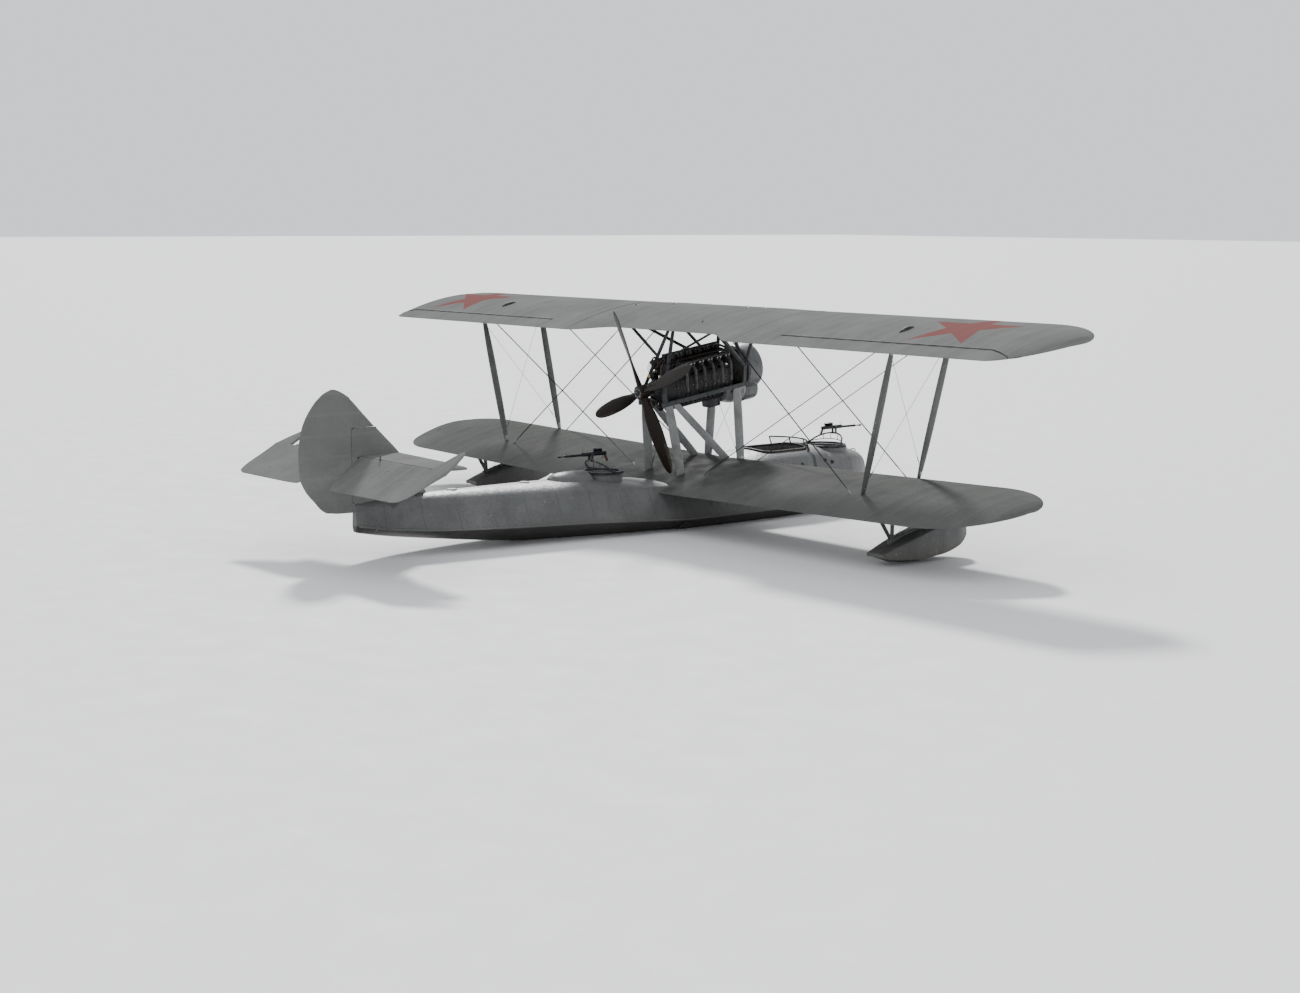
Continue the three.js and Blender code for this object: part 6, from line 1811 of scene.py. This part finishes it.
        def arc(z, shift, radius=middle, angle=np.linspace(-half_angle, half_angle, 41)):
            return np.column_stack([radius * np.sin(angle), frame_y + shift - radius * np.cos(angle),
                                    np.full(len(angle), z)])
        low, high = (np.concatenate([arc(z, shift, 0.64), arc(z, shift, 0.636)[::-1]])
                     for z, shift in ((1.10, -0.03689), (1.31, 0.044)))
        pane = shell(np.stack([low + (high - low) * t for t in np.linspace(0, 1, 6)]))
        bars = [sweep(arc(1.302, 0.041), rounded(0.026, 0.02, 14), UPRIGHT)]
        for place in (-half_angle, -0.3, 0.3, half_angle):
            post = [arc(z, shift, angle=[place])[0] for z, shift in ((1.03, -0.0655), (1.302, 0.041))]
            bars.append(sweep(post, rounded(0.022, 0.018), ASTERN))
        sill = arc(1, -0.026)
        sill[:, 2] = deck_height(arc(1, 0)[:, 1] - 0.01, sill[:, 0]) + 0.012
        bars.append(sweep(sill, rounded(0.03, 0.02, 14), UPRIGHT))
        piece("windscreen_pane", "boat", [("pane", [pane])], ("windscreen",))
        piece("windscreen_frame", "boat", [("dark_fitting", bars)])

    def padded_edge(self, sizes):
        """The padded roll round the well: a circle carried round the opening, on the deck's curve."""
        count = 120
        plan = rounded(0.9, 1.14, count, 0.42) + [0, COCKPIT_Y]
        path = np.column_stack([plan, deck_height(plan[:, 1], plan[:, 0]) + 0.006])
        bulge = 1 + 0.05 * np.cos(np.arange(count) * np.pi)
        padding = sweep(path, circle(sizes.coaming, 16), ends="loop", scale=bulge)
        roll = piece("cockpit_padded_edge", "boat", [("hide", [padding])])
        over = np.linspace(0.2, math.pi - 0.2, 8)
        loop = sizes.coaming * 1.07 * np.column_stack([np.cos(over), np.zeros(8), np.sin(over)])
        straight = np.nonzero(np.abs(plan[:, 1] - COCKPIT_Y) < 0.5)[0]
        lace = [sweep(at + loop, circle(0.002, 6), ASTERN) for at in path[straight[::2]]]
        piece("cockpit_edge_lacing", "boat", [("stitching", lace)])


class GunStations(FlyingBoatStep):
    """Makes the gun rings, their arches and the guns"""
    bl_idname = "flying_boat.gun_stations"
    bl_label = "Gun stations"

    def make(self, sizes, colours, stage):
        rows = (("nose", NOSE_Y, 1.11, -1, NOSE_WELL, 0.43, 0.28, 0.381),
                ("dorsal", DORSAL_Y, 1.0, 1, DORSAL_WELL, 0.38, 0.245, 0.361))
        for place, y, z, way, well, ring, reach, floor in rows:
            put_there = lambda p: p * [way, way, 1] + [0, y, z]
            steel, teeth = self.ring(well + 0.012, ring, reach)
            parts = [("dark_fitting", turned(steel, put_there)), ("steel", turned(teeth, put_there))]
            piece(f"ring_mount_{place}", f"{place}_ring", parts, (f"gun_ring_{place}",))
            at_gun = lambda p: put_there(p + [0, reach, 0.33])
            metal, wood = self.gun()
            parts = [("gun_steel", turned(metal, at_gun)), ("mahogany", turned(wood, at_gun))]
            piece(f"machine_gun_{place}", f"{place}_gun", parts, (f"gun_{place}",))
            slats = [brick((-0.24, at, floor), (0.24, at + 0.07, floor + 0.014), 0.15)
                     for at in y + np.arange(-0.25, 0.2, 0.09)]
            piece(f"well_boards_{place}", "boat", [("bare_boards", slats)])

    def ring(self, inside, outside, reach):
        """A flat race with rollers, and an arch whose height is a sine of the turn."""
        profile = [(0.006, inside), (0.006, outside), (0.012, outside), (0.016, outside - 0.008),
                   (0.032, outside - 0.008), (0.04, outside - 0.004), (0.04, inside + 0.004), (0.036, inside)]
        race = lathe(profile, ORIGIN, UPRIGHT, 96, "loop")
        middle = (inside + outside) / 2
        turn = np.linspace(0, np.pi, 40)
        arch = np.column_stack([middle * np.cos(turn), reach * np.sin(turn), 0.025 + 0.2 * np.sin(turn)])
        steel = [race, sweep(arch, circle(0.015, 16), (0, 0.3, 1))]
        low = np.column_stack([middle * np.cos(turn), reach * 0.98 * np.sin(turn),
                               0.04 + 0.07 * np.sin(turn)])
        steel.append(sweep(low[2:-2], circle(0.008, 10), (0, 0.3, 1)))
        for t in (0.3, 0.42, 0.58, 0.7):
            steel.append(tube([arch[int(t * 39)], low[int(t * 39)]], 0.006, 8))
        for way in (-1, 1):
            steel.append(brick((way * 0.042 - 0.006, reach - 0.026, 0.217),
                               (way * 0.042 + 0.006, reach + 0.026, 0.352), 0.4))
            steel.append(lathe([(0, 0.028), (0.05, 0.024)], (way * middle, 0, 0.012), UPRIGHT, 20))
        steel.append(brick((-0.048, reach - 0.018, 0.207), (0.048, reach + 0.018, 0.235), 0.4))
        teeth = [lathe([(0, 0.005), (0.006, 0.004)], (*at, 0.038), UPRIGHT, 6)
                 for at in circle(inside + 0.006, 60)]
        return steel, teeth

    def gun(self):
        """A light gun on trunnions: receiver, finned jacket, flash hider, pan magazine, grips and sights."""
        metal = [brick((-0.03, -0.33, -0.026), (0.03, 0.19, 0.04), 0.25),
                 tube([(-0.035, 0, 0), (0.035, 0, 0)], 0.014, 20)]
        fins = []
        for k in range(24):
            y = 0.185 + k * 0.0155
            fins += [(y, 0.0165), (y + 0.004, 0.021), (y + 0.009, 0.021), (y + 0.0125, 0.0165)]
        metal.append(lathe(fins, ORIGIN, ASTERN, 24))
        metal.append(lathe([(0.55, 0.011), (0.64, 0.011), (0.645, 0.016), (0.7, 0.02), (0.7, 0.012)], ORIGIN,
                           ASTERN, 20))
        pan = [(0.038, 0.03), (0.042, 0.083), (0.048, 0.085)]
        for k in range(4):
            pan += [(0.052 + k * 0.010, 0.085), (0.056 + k * 0.010, 0.080)]
        pan += [(0.092, 0.083), (0.096, 0.075), (0.096, 0.02)]
        metal.append(lathe(pan, (0, -0.15, 0), UPRIGHT, 40))
        for stud in circle(0.05, 12) + [0, -0.15]:
            metal.append(brick((*(stud - 0.006), 0.09), (*(stud + 0.006), 0.0985), 0.5))
        across, up = circle(0.03, 32).T
        sight = np.column_stack([across, np.full(32, 0.17), 0.075 + up])
        metal.append(sweep(sight, circle(0.002, 6), ASTERN, ends="loop"))
        metal += [tube([(0, 0.17, 0.035), (0, 0.17, 0.075)], 0.002, 6),
                  tube([(0, 0.53, 0.015), (0, 0.53, 0.06)], 0.003, 6)]
        guard = route([(0, -0.26, -0.026), (0, -0.25, -0.06), (0, -0.285, -0.075), (0, -0.305, -0.055)], 20)
        metal.append(sweep(guard, circle(0.003, 6), ACROSS))
        wood = [sweep(route([(0, -0.3, -0.015), (0, -0.325, -0.06), (0, -0.36, -0.13)], 14),
                      rounded(0.03, 0.042, 20, 0.6), ACROSS)]
        return metal, wood


STEPS = (Finishes, Stage, Hull, Wings, Tail, Rigging, Floats, EngineFrames, Engine, Propeller, Cockpit,
         GunStations)


class FlyingBoatPanel(bpy.types.Panel):
    """Lists the steps in the sidebar"""
    bl_idname = "VIEW3D_PT_flying_boat"
    bl_label = "Flying boat"
    bl_space_type = "VIEW_3D"
    bl_region_type = "UI"
    bl_category = "Flying boat"

    def draw(self, context):
        for step in STEPS:
            self.layout.operator(step.bl_idname)


CLASSES = (FlyingBoatSizes, FlyingBoatColours, FlyingBoatStage, *STEPS, FlyingBoatPanel)


def register():
    for item in CLASSES:
        bpy.utils.register_class(item)
    bpy.types.Scene.flying_boat_sizes = bpy.props.PointerProperty(type=FlyingBoatSizes)
    bpy.types.Scene.flying_boat_colours = bpy.props.PointerProperty(type=FlyingBoatColours)
    bpy.types.Scene.flying_boat_stage = bpy.props.PointerProperty(type=FlyingBoatStage)


def unregister():
    for name in ("flying_boat_sizes", "flying_boat_colours", "flying_boat_stage"):
        delattr(bpy.types.Scene, name)
    for item in reversed(CLASSES):
        bpy.utils.unregister_class(item)


def main():
    register()
    for step in STEPS:
        family, name = step.bl_idname.split(".")
        getattr(getattr(bpy.ops, family), name)()
    bpy.context.view_layer.update()


if __name__ == "__main__":
    main()
